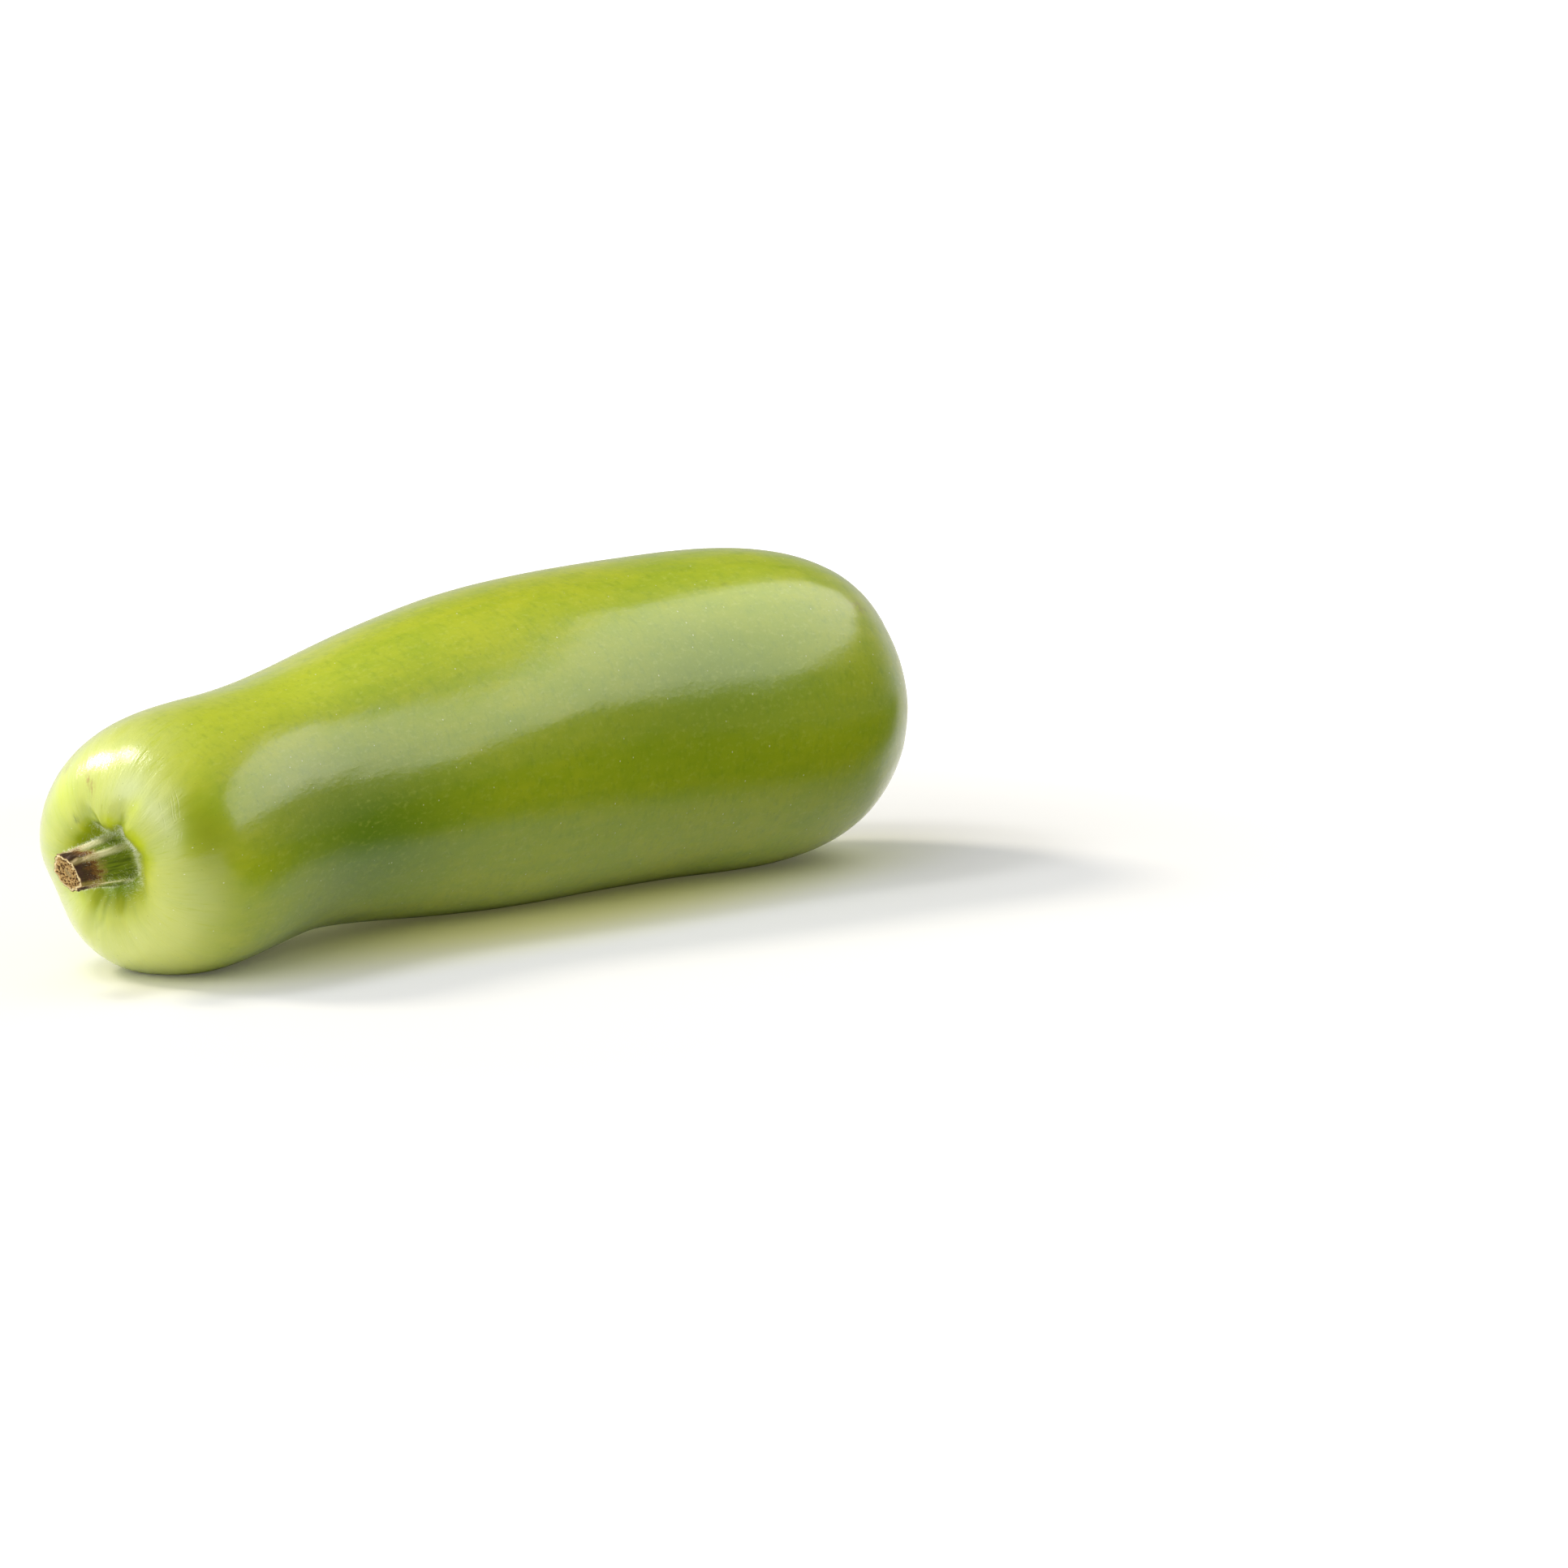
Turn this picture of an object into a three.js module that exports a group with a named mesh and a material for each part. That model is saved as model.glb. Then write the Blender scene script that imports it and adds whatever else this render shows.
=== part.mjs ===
import * as THREE from 'three';

// A whole bottle gourd that lies on its side, with the stub of its cut stalk.
// Millimetres, +Z up. The stalk points along -X and the blossom end along +X.

const DEG = Math.PI / 180;
const TURN = 2 * Math.PI;

// Outline of the fruit: [distance along its axis from the crown, distance from the axis]
const LENGTH = 309.5;
const DIMPLE_DEPTH = 8.2;
const LOBE_RADIUS = 37.9;
const NECK_RADIUS = 35.5;
const BELLY_RADIUS = 51.6;
const OUTLINE = [
  [DIMPLE_DEPTH, 0],
  [DIMPLE_DEPTH, 7],
  [4.4, 10.5],
  [0, 14.3],
  [2.6, 25.6],
  [16, 37.1],
  [42, LOBE_RADIUS],
  [71.6, NECK_RADIUS],
  [108, 41.9],
  [145, 47.7],
  [185, 49.7],
  [225, 50.2],
  [262, BELLY_RADIUS],
  [292, 43.9],
  [LENGTH, 23],
  [LENGTH, 0],
];
const SPANS = OUTLINE.length - 1;

// Centre line: a bow to the side, a slight sag and a rise towards the blossom end
const BOW = 21.3;
const BOW_SKEW = 1.7;
const SAG = 6.3;
const RISE = 0.057;
const CENTRE_HEIGHT = 40.2;

// The rings are a little oval, and the dimple sits off the axis
const OVAL = 0.02;
const OVAL_ANGLE = -45 * DEG;
const CROWN_SHIFT = 3.6;
const CROWN_SHIFT_ANGLE = 140 * DEG;
const CROWN_SHIFT_END = 4;

// The underside is soft where it bears on the table
const SOFT = 0.9;

// Furrows that run out from the stalk: angle, depth and half width in degrees
const FURROWS = [
  [110, 1.7, 9],
  [70, 1.3, 9],
  [244, 1.4, 8],
  [281, 1.2, 9],
  [196, 0.8, 11],
  [327, 0.7, 11],
  [22, 0.4, 10],
];
const FURROW_START = 6.5;
const FURROW_FULL = 10;
const FURROW_FADE = 14;
const FURROW_END = 27;

// Gentle waves of the body: height, lobes round the body, length and phase
const WAVES = [
  [0.26, 3, 38, 254 * DEG],
  [0.22, 5, -27, 279 * DEG],
];
const WAVE_FULL_RADIUS = 32;

// Flat on the crown's edge, where the lobe is less full
const FLAT_ANGLE = 202;
const FLAT_DEPTH = 2.9;
const FLAT_WIDTH = 23;
const FLAT_START = 8;
const FLAT_FULL = 17;
const FLAT_FADE = 24;
const FLAT_END = 39;
const CROWN_END = 7;

// Scar of the fallen blossom
const SCAR_FROM = 12;
const SCAR_HOLLOW = { height: -1.3, radius: 8 };
const SCAR_RING = { height: 0.5, radius: 4.2, width: 1.3 };
const SCAR_NUB = { height: 1.1, radius: 1.7 };

// Stalk: length, taper, lean and slanted cut
const STALK_LENGTH = 21;
const STALK_LEAN_SIDE = -0.03;
const STALK_LEAN_UP = 0.12;
const STALK_CORE = 4.9;
const STALK_TAPER = 1.9;
const STALK_TAPER_POWER = 1.3;
const STALK_FLARE = 0.5;
const STALK_FLARE_LENGTH = 0.08;
const STALK_RIDGES = [105, 44, -32, -104, 180];
const RIDGE_HEIGHT = 0.85;
const RIDGE_WIDTH = 17;
const CUT_SIDE = 0.28;
const CUT_UP = 0.36;
const FOOT_GAP = 0.35;
const FOOT_SPAN = 1.3;

// Cut face: a rounded rim, a ring of vessel bundles and a groove of pith
const RIM_DROP = 0.3;
const BUNDLES = 10;
const BUNDLE_HEIGHT = 0.16;
const BUNDLE_RING = 0.72;
const BUNDLE_RING_WIDTH = 0.2;
const PITH_DEPTH = 1.1;
const PITH_LONG = 1.5;
const PITH_SHORT = 0.9;
const PITH_ANGLE = 120 * DEG;

// Mesh density
const FRUIT_AROUND = 60;
const ROWS_IN_SPAN = [2, 3, 4, 5, 5, 4, 4, 3, 3, 3, 3, 4, 4, 5];
const END_ROWS = 8;
const STALK_AROUND = 40;
const STALK_ROWS = 11;
const CUT_RINGS = [0.12, 0.26, 0.5, 0.72, 0.92];
const FOOT_RINGS = [0.8, 0.5, 0.2];

const COLOURS = {
  skin: '#a9b63c',
  stalk: '#6f7a2c',
};

function clamp01(value) {
  return Math.min(1, Math.max(0, value));
}

function smooth(low, high, value) {
  const s = clamp01((value - low) / (high - low));
  return s * s * (3 - 2 * s);
}

function bell(x, width) {
  return Math.exp(-((x / width) ** 2));
}

// Smallest difference of two angles
function turnBetween(angle, other) {
  return Math.atan2(Math.sin(angle - other), Math.cos(angle - other));
}

// Control point of the outline, mirrored over the axis past both ends so that the poles are round
function controlPoint(index) {
  if (index < 0) {
    return [OUTLINE[1][0], -OUTLINE[1][1]];
  }
  if (index > SPANS) {
    return [OUTLINE[SPANS - 1][0], -OUTLINE[SPANS - 1][1]];
  }
  return OUTLINE[index];
}

// Uniform cubic B-spline of the outline, with its slope
function outlineAt(t) {
  const span = Math.min(Math.floor(t), SPANS - 1);
  const w = t - span;
  const weights = [(1 - w) ** 3, 3 * w ** 3 - 6 * w ** 2 + 4, -3 * w ** 3 + 3 * w ** 2 + 3 * w + 1, w ** 3];
  const slopes = [-3 * (1 - w) ** 2, 9 * w ** 2 - 12 * w, -9 * w ** 2 + 6 * w + 3, 3 * w ** 2];
  const at = { along: 0, radius: 0, dAlong: 0, dRadius: 0 };
  for (let k = 0; k < weights.length; k += 1) {
    const [along, radius] = controlPoint(span + k - 1);
    at.along += weights[k] * along / 6;
    at.radius += weights[k] * radius / 6;
    at.dAlong += slopes[k] * along / 6;
    at.dRadius += slopes[k] * radius / 6;
  }
  return at;
}

// Point of the centre line with its tangent, side and up directions
function frameAt(along) {
  const u = 2 * along / LENGTH - 1;
  const y = BOW * (1 - u * u) + BOW_SKEW * (u ** 3 - u);
  const z = CENTRE_HEIGHT + RISE * (along - LENGTH / 2) + SAG * (1 - u * u);
  const dy = (BOW * -2 * u + BOW_SKEW * (3 * u * u - 1)) * 2 / LENGTH;
  const dz = RISE + SAG * -2 * u * 2 / LENGTH;
  const tangent = new THREE.Vector3(1, dy, dz).normalize();
  const side = new THREE.Vector3().crossVectors(tangent, new THREE.Vector3(0, 0, 1)).normalize();
  const up = new THREE.Vector3().crossVectors(side, tangent);
  return { centre: new THREE.Vector3(along - LENGTH / 2, y, z), tangent, side, up };
}

function furrowDepth(radius, angle) {
  const near = smooth(FURROW_START, FURROW_FULL, radius);
  const far = 1 - smooth(FURROW_FADE, FURROW_END, radius);
  let depth = 0;
  for (const [at, most, width] of FURROWS) {
    depth += most * bell(turnBetween(angle, at * DEG), width * DEG);
  }
  return depth * near * far;
}

function flatDepth(radius, angle) {
  const near = smooth(FLAT_START, FLAT_FULL, radius);
  const far = 1 - smooth(FLAT_FADE, FLAT_END, radius);
  return FLAT_DEPTH * bell(turnBetween(angle, FLAT_ANGLE * DEG), FLAT_WIDTH * DEG) * near * far;
}

function waveHeight(along, radius, angle) {
  let height = 0;
  for (const [most, lobes, length, phase] of WAVES) {
    height += most * Math.cos(lobes * angle + (along - LENGTH / 2) / length + phase);
  }
  return height * Math.min(1, radius / WAVE_FULL_RADIUS) ** 2;
}

function scarHeight(radius) {
  const hollow = SCAR_HOLLOW.height * bell(radius, SCAR_HOLLOW.radius);
  const ring = SCAR_RING.height * bell(radius - SCAR_RING.radius, SCAR_RING.width);
  const nub = SCAR_NUB.height * bell(radius, SCAR_NUB.radius);
  return hollow + ring + nub;
}

function reliefAt(t, at, angle) {
  const wave = waveHeight(at.along, at.radius, angle);
  if (t > SCAR_FROM) {
    return wave + scarHeight(at.radius);
  }
  if (t < CROWN_END) {
    return wave - furrowDepth(at.radius, angle) - flatDepth(at.radius, angle);
  }
  return wave;
}

// The underside flattens smoothly onto the table
function soften(z) {
  if (z <= -SOFT) {
    return 0;
  }
  if (z >= SOFT) {
    return z;
  }
  return (z + SOFT) ** 2 / (4 * SOFT);
}

function crownShift(t) {
  return CROWN_SHIFT * (1 - smooth(0.5, CROWN_SHIFT_END, t));
}

// Point of the skin at outline parameter t and ring angle, lifted off it along its normal
function skinPoint(t, angle, lift) {
  const at = outlineAt(t);
  const raised = lift + reliefAt(t, at, angle);
  const slope = Math.hypot(at.dAlong, at.dRadius);
  const outAlong = -at.dRadius / slope;
  const outRadius = at.dAlong / slope;
  const radius = at.radius * (1 + OVAL * Math.cos(2 * (angle - OVAL_ANGLE))) + raised * outRadius;
  const shift = crownShift(t);
  const { centre, tangent, side, up } = frameAt(at.along);
  const point = centre.clone();
  point.addScaledVector(tangent, raised * outAlong);
  point.addScaledVector(side, radius * Math.cos(angle) + shift * Math.cos(CROWN_SHIFT_ANGLE));
  point.addScaledVector(up, radius * Math.sin(angle) + shift * Math.sin(CROWN_SHIFT_ANGLE));
  point.z = soften(point.z);
  return point;
}

// Closed surface of rings between two end points, first end facing -tangent
function ringSurface(start, rings, end) {
  const around = rings[0].length;
  const positions = [start, ...rings.flat(), end].flatMap((p) => [p.x, p.y, p.z]);
  const last = rings.length * around + 1;
  const at = (row, column) => 1 + row * around + (column % around);
  const faces = [];
  for (let j = 0; j < around; j += 1) {
    faces.push(0, at(0, j), at(0, j + 1));
    for (let i = 0; i + 1 < rings.length; i += 1) {
      faces.push(at(i, j), at(i + 1, j), at(i, j + 1));
      faces.push(at(i, j + 1), at(i + 1, j), at(i + 1, j + 1));
    }
    faces.push(last, at(rings.length - 1, j + 1), at(rings.length - 1, j));
  }
  const geometry = new THREE.BufferGeometry();
  geometry.setAttribute('position', new THREE.Float32BufferAttribute(positions, 3));
  geometry.setIndex(faces);
  geometry.computeVertexNormals();
  return geometry;
}

function ringAngles(count) {
  return Array.from({ length: count }, (_, k) => TURN * k / count);
}

// Outline parameters of the fruit's rings, closer together at both ends
function fruitRows() {
  const rows = [];
  ROWS_IN_SPAN.forEach((count, span) => {
    for (let k = 0; k < count; k += 1) {
      rows.push(span + k / count);
    }
  });
  for (let k = END_ROWS; k > 0; k -= 1) {
    rows.push(SPANS - (k / END_ROWS) ** 2);
  }
  return rows.slice(1);
}

function fruitGeometry() {
  const angles = ringAngles(FRUIT_AROUND);
  const rings = fruitRows().map((t) => angles.map((angle) => skinPoint(t, angle, 0)));
  return ringSurface(skinPoint(0, 0, 0), rings, skinPoint(SPANS, 0, 0));
}

// Outline parameter at which the floor of the dimple reaches a radius
function spanAtRadius(radius) {
  let low = 0;
  let high = 3;
  for (let k = 0; k < 40; k += 1) {
    const middle = (low + high) / 2;
    if (outlineAt(middle).radius < radius) {
      low = middle;
    } else {
      high = middle;
    }
  }
  return (low + high) / 2;
}

function ridgeAt(angle) {
  let height = 0;
  for (const ridge of STALK_RIDGES) {
    height += bell(turnBetween(angle, ridge * DEG), RIDGE_WIDTH * DEG);
  }
  return RIDGE_HEIGHT * height;
}

// Radius of the stalk at share s of its length
function stalkRadius(s, angle) {
  const taper = STALK_TAPER * (1 - s) ** STALK_TAPER_POWER;
  const flare = STALK_FLARE * Math.exp(-s / STALK_FLARE_LENGTH);
  return STALK_CORE + taper + flare + ridgeAt(angle);
}

// Frame of the stalk, at the ring where its foot meets the dimple
function stalkFrame() {
  const frame = frameAt(outlineAt(FOOT_SPAN).along);
  const shift = crownShift(FOOT_SPAN);
  const base = frame.centre.clone();
  base.addScaledVector(frame.side, shift * Math.cos(CROWN_SHIFT_ANGLE));
  base.addScaledVector(frame.up, shift * Math.sin(CROWN_SHIFT_ANGLE));
  return { ...frame, base };
}

function stalkPoint(frame, sideways, upwards, height) {
  const point = frame.base.clone();
  point.addScaledVector(frame.tangent, -height);
  point.addScaledVector(frame.side, sideways + STALK_LEAN_SIDE * height);
  point.addScaledVector(frame.up, upwards + STALK_LEAN_UP * height);
  return point;
}

function footPoint(radius, angle) {
  return skinPoint(spanAtRadius(radius), angle, FOOT_GAP);
}

// Side of the stalk: from the slanted cut at s = 1 down to the rim of the foot at s = 0
function stalkSidePoint(frame, s, angle) {
  const rim = footPoint(stalkRadius(0, angle), angle);
  if (s === 0) {
    return rim;
  }
  const radius = stalkRadius(s, angle);
  const sideways = radius * Math.cos(angle);
  const upwards = radius * Math.sin(angle);
  const rimHeight = frame.base.clone().sub(rim).dot(frame.tangent);
  const cutHeight = STALK_LENGTH + CUT_SIDE * sideways + CUT_UP * upwards - (s === 1 ? RIM_DROP : 0);
  const height = rimHeight + (cutHeight - rimHeight) * s;
  return stalkPoint(frame, sideways, upwards, height);
}

// Relief of the cut face at share f of its radius
function cutRelief(f, angle, radius) {
  const bundles = BUNDLE_HEIGHT * Math.cos(BUNDLES * angle) * bell(f - BUNDLE_RING, BUNDLE_RING_WIDTH);
  const along = radius * f * Math.cos(angle - PITH_ANGLE);
  const across = radius * f * Math.sin(angle - PITH_ANGLE);
  return bundles - PITH_DEPTH * bell(along, PITH_LONG) * bell(across, PITH_SHORT);
}

function cutPoint(frame, f, angle) {
  const radius = stalkRadius(1, angle);
  const sideways = f * radius * Math.cos(angle);
  const upwards = f * radius * Math.sin(angle);
  const height = STALK_LENGTH + CUT_SIDE * sideways + CUT_UP * upwards + cutRelief(f, angle, radius);
  return stalkPoint(frame, sideways, upwards, height);
}

function stalkGeometry() {
  const frame = stalkFrame();
  const angles = ringAngles(STALK_AROUND);
  const rings = CUT_RINGS.map((f) => angles.map((angle) => cutPoint(frame, f, angle)));
  for (let k = STALK_ROWS; k >= 0; k -= 1) {
    rings.push(angles.map((angle) => stalkSidePoint(frame, k / STALK_ROWS, angle)));
  }
  for (const f of FOOT_RINGS) {
    rings.push(angles.map((angle) => footPoint(f * stalkRadius(0, angle), angle)));
  }
  return ringSurface(cutPoint(frame, 0, 0), rings, footPoint(0, 0));
}

function skinMaterial() {
  return new THREE.MeshStandardMaterial({ name: 'skin', color: COLOURS.skin, roughness: 0.35, metalness: 0 });
}

function stalkMaterial() {
  return new THREE.MeshStandardMaterial({ name: 'stalk', color: COLOURS.stalk, roughness: 0.8, metalness: 0 });
}

function namedMesh(name, geometry, material) {
  const mesh = new THREE.Mesh(geometry, material);
  mesh.name = name;
  return mesh;
}

// Origin under the middle of the whole, on the table
function settle(group) {
  const box = new THREE.Box3().setFromObject(group);
  const middle = box.getCenter(new THREE.Vector3());
  for (const mesh of group.children) {
    mesh.geometry.translate(-middle.x, -middle.y, -box.min.z);
  }
}

const gourd = new THREE.Group();
gourd.name = 'bottle_gourd';
gourd.add(namedMesh('fruit', fruitGeometry(), skinMaterial()));
gourd.add(namedMesh('stem', stalkGeometry(), stalkMaterial()));
settle(gourd);

export default gourd;
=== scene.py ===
"""A whole bottle gourd lying on its side: waxy skin, cut stalk and the fine hairs at its foot."""

import math

import bpy
import numpy as np
from mathutils import Matrix, Vector


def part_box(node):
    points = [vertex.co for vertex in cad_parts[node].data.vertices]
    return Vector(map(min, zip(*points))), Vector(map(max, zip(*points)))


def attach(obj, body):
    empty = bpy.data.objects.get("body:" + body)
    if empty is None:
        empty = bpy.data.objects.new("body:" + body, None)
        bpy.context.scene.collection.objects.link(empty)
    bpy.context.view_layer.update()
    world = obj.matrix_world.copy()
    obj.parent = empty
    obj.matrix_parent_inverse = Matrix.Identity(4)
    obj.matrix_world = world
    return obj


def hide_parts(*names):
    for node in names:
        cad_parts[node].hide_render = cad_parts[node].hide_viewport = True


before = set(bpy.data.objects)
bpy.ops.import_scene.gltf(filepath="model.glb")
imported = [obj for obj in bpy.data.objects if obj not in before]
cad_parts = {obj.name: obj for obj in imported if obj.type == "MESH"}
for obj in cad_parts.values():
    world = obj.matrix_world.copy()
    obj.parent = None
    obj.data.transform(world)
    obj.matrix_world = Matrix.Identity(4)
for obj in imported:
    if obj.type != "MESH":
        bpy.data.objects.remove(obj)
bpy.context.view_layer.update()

bl_info = {
    "name": "Bottle gourd",
    "version": (1, 0, 0),
    "blender": (4, 5, 0),
    "location": "View3D > Sidebar > Gourd",
    "description": "Makes the skin, stalk, hairs and studio of a bottle gourd",
    "category": "Object",
}

MM = 0.001
DEG = math.pi / 180

# Outline of the fruit: distance along its axis from the crown, distance from the axis, in mm
LENGTH = 309.5
OUTLINE = np.array([
    (8.2, 0),
    (8.2, 7),
    (4.4, 10.5),
    (0, 14.3),
    (2.6, 25.6),
    (16, 37.1),
    (42, 37.9),
    (71.6, 35.5),
    (108, 41.9),
    (145, 47.7),
    (185, 49.7),
    (225, 50.2),
    (262, 51.6),
    (292, 43.9),
    (LENGTH, 23),
    (LENGTH, 0),
])
SPANS = len(OUTLINE) - 1

# Centre line
BOW = 21.3
BOW_SKEW = 1.7
SAG = 6.3
RISE = 0.057
CENTRE_HEIGHT = 40.2

# Oval rings and the dimple's shift off the axis
OVAL = 0.02
OVAL_ANGLE = -45 * DEG
CROWN_SHIFT = 3.6
CROWN_SHIFT_ANGLE = 140 * DEG
CROWN_SHIFT_FROM = 0.5
CROWN_SHIFT_END = 4
SOFT = 0.9

# Furrows that run out from the stalk: angle, depth and half width in degrees
FURROWS = (
    (110, 1.7, 9),
    (70, 1.3, 9),
    (244, 1.4, 8),
    (281, 1.2, 9),
    (196, 0.8, 11),
    (327, 0.7, 11),
    (22, 0.4, 10),
)
# Radii in mm between which the furrows rise, and between which they fade
FURROW_REACH = (6.5, 10, 14, 27)

# Gentle waves of the body: height, lobes round the body, length and phase
WAVES = (
    (0.26, 3, 38, 254 * DEG),
    (0.22, 5, -27, 279 * DEG),
)
WAVE_FULL_RADIUS = 32

# Flat on the crown's edge
FLAT_ANGLE = 202
FLAT_DEPTH = 2.9
FLAT_WIDTH = 23
FLAT_REACH = (8, 17, 24, 39)
CROWN_END = 7

# Scar of the fallen blossom: height and radius of its hollow, ring and nub
SCAR_FROM = 12
SCAR_HOLLOW = (-1.3, 8)
SCAR_RING = (0.5, 4.2, 1.3)
SCAR_NUB = (1.1, 1.7)

# Stalk
STALK_LENGTH = 21
STALK_LEAN_SIDE = -0.03
STALK_LEAN_UP = 0.12
STALK_CORE = 4.9
STALK_TAPER = 1.9
STALK_TAPER_POWER = 1.3
STALK_FLARE = 0.5
STALK_FLARE_LENGTH = 0.08
STALK_RIDGES = (105, 44, -32, -104, 180)
RIDGE_HEIGHT = 0.85
RIDGE_WIDTH = 17
CUT_SIDE = 0.28
CUT_UP = 0.36
FOOT_SPAN = 1.3
RIM_DROP = 0.3
BUNDLES = 10
BUNDLE_RING = 0.72
PITH_ANGLE = 120 * DEG


def smooth(low, high, value):
    """S-shaped step from 0 at low to 1 at high: 3s^2 - 2s^3 of the share s."""
    share = np.clip((value - low) / (high - low), 0, 1)
    return share * share * (3 - 2 * share)


def window(reach, value):
    """Smooth rise between the first two limits of a reach, times a smooth fall between its last two."""
    return smooth(*reach[:2], value) * (1 - smooth(*reach[2:], value))


def bell(x, width):
    """Gaussian bump: exp of minus the square of x over width."""
    return np.exp(-((x / width) ** 2))


def turn_between(angle, other):
    """Smallest difference of two angles, from -pi to pi."""
    return np.arctan2(np.sin(angle - other), np.cos(angle - other))


def lobe(angle, at, width):
    """Gaussian bump on the ring, at an angle and with a half width in degrees."""
    return bell(turn_between(angle, at * DEG), width * DEG)


def outline_at(t):
    """Uniform cubic B-spline of the outline, mirrored past both ends.

    Gives distance along the axis, radius, and the slope of each by t.
    """
    mirror = OUTLINE[[1, -2]] * (1, -1)
    points = np.vstack([mirror[:1], OUTLINE, mirror[1:]])
    span = np.clip(np.floor(t).astype(int), 0, SPANS - 1)
    w = (t - span)[..., None]
    weights = ((1 - w) ** 3, 3 * w**3 - 6 * w**2 + 4, -3 * w**3 + 3 * w**2 + 3 * w + 1, w**3)
    slopes = (-3 * (1 - w) ** 2, 9 * w**2 - 12 * w, -9 * w**2 + 6 * w + 3, 3 * w**2)
    place = sum(weight * points[span + k] for k, weight in enumerate(weights)) / 6
    slope = sum(weight * points[span + k] for k, weight in enumerate(slopes)) / 6
    return place[..., 0], place[..., 1], slope[..., 0], slope[..., 1]


def unit(vectors):
    """Vectors scaled to length one."""
    return vectors / np.linalg.norm(vectors, axis=-1, keepdims=True)


def centre_at(along):
    """Point of the bowed centre line, with its tangent, side and up directions."""
    u = 2 * along / LENGTH - 1
    y = BOW * (1 - u * u) + BOW_SKEW * (u**3 - u)
    z = CENTRE_HEIGHT + RISE * (along - LENGTH / 2) + SAG * (1 - u * u)
    dy = (BOW * -2 * u + BOW_SKEW * (3 * u * u - 1)) * 2 / LENGTH
    dz = RISE + SAG * -2 * u * 2 / LENGTH
    centre = np.stack([along - LENGTH / 2, y, z], -1)
    tangent = unit(np.stack([np.ones_like(dy), dy, dz], -1))
    side = unit(np.cross(tangent, (0.0, 0.0, 1.0)))
    return centre, tangent, side, np.cross(side, tangent)


def furrow_depth(radius, angle):
    """Sum of bell-shaped valleys round the crown, faded in and out by radius."""
    return sum(most * lobe(angle, at, width) for at, most, width in FURROWS) * window(FURROW_REACH, radius)


def flat_depth(radius, angle):
    """One broad bell-shaped flat on the crown's edge."""
    return FLAT_DEPTH * lobe(angle, FLAT_ANGLE, FLAT_WIDTH) * window(FLAT_REACH, radius)


def wave_height(along, radius, angle):
    """Cosine waves that wind round the body, faded out towards the poles."""
    waves = sum(
        most * np.cos(lobes * angle + (along - LENGTH / 2) / length + phase)
        for most, lobes, length, phase in WAVES
    )
    return waves * np.minimum(1, radius / WAVE_FULL_RADIUS) ** 2


def scar_height(radius):
    """Shallow hollow with a raised ring and a nub in the middle."""
    hollow = SCAR_HOLLOW[0] * bell(radius, SCAR_HOLLOW[1])
    ring = SCAR_RING[0] * bell(radius - SCAR_RING[1], SCAR_RING[2])
    return hollow + ring + SCAR_NUB[0] * bell(radius, SCAR_NUB[1])


def relief_at(t, along, radius, angle):
    """Height of all forms of the outside over the plain outline."""
    crown = (t < CROWN_END) * (furrow_depth(radius, angle) + flat_depth(radius, angle))
    return wave_height(along, radius, angle) - crown + (t > SCAR_FROM) * scar_height(radius)


def soften(z):
    """Height over the table: flat at 0 underneath, with a short smooth lift-off."""
    lift_off = (z + SOFT) ** 2 / (4 * SOFT)
    return np.where(z <= -SOFT, 0.0, np.where(z >= SOFT, z, lift_off))


def crown_shift(t):
    """Shift of the rings near the crown off the centre line, sideways and upwards."""
    shift = CROWN_SHIFT * (1 - smooth(CROWN_SHIFT_FROM, CROWN_SHIFT_END, t))
    return shift * math.cos(CROWN_SHIFT_ANGLE), shift * math.sin(CROWN_SHIFT_ANGLE)


def skin_point(t, angle, lift=0.0):
    """Point of the skin at outline parameter t and ring angle, lifted along the outline's normal.

    It is the centre line's point, plus the ring's reach along side and up, plus the shift and the lean.
    """
    t, angle, lift = np.broadcast_arrays(np.asarray(t, float), angle, lift)
    along, radius, d_along, d_radius = outline_at(t)
    raised = lift + relief_at(t, along, radius, angle)
    slope = np.hypot(d_along, d_radius)
    reach = radius * (1 + OVAL * np.cos(2 * (angle - OVAL_ANGLE))) + raised * d_along / slope
    centre, tangent, side, up = centre_at(along)
    aside, above = crown_shift(t)
    aside = aside + reach * np.cos(angle)
    above = above + reach * np.sin(angle)
    point = centre - tangent * (raised * d_radius / slope)[..., None]
    point = point + side * aside[..., None] + up * above[..., None]
    point[..., 2] = soften(point[..., 2])
    return point


def skin_directions(t, angle):
    """Outward normal, direction away from the stalk and direction round the fruit."""
    step = 0.01
    onward = skin_point(t + step, angle) - skin_point(t - step, angle)
    around = skin_point(t, angle + step) - skin_point(t, angle - step)
    normal = unit(np.cross(onward, around))
    onward = unit(onward)
    return normal, onward, np.cross(normal, onward)


def ripple(points, seed, count, shortest, longest):
    """Sum of seeded cosine waves through space, with a mean square height of one."""
    chance = np.random.default_rng(seed)
    height = np.zeros(points.shape[:-1])
    for _ in range(count):
        heading = unit(chance.normal(size=3))
        length = shortest * (longest / shortest) ** chance.random()
        height += np.cos(points @ heading * (2 * math.pi / length) + chance.random() * 2 * math.pi)
    return height * math.sqrt(2 / count)


# Fine forms that only this finer skin carries, in mm
# Cores of the furrows: angle at the foot, its turn outwards, depth, half width in degrees, radius of the end
CORE_FURROWS = (
    (99, 14, 0.55, 3.6, 23),
    (71, 1, 0.5, 4.5, 23),
    (256, -15, 0.35, 6, 24),
    (286, -6, 0.3, 7, 17),
)
CORE_TURN = (13, 23)
CORE_FADE = 8
# Pleats: height, number round the crown, phase; radii where they rise and fade
PLEATS = ((0.015, 23, 0.7), (0.012, 37, 2.1))
PLEAT_REACH = (7, 11, 14, 30)
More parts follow.
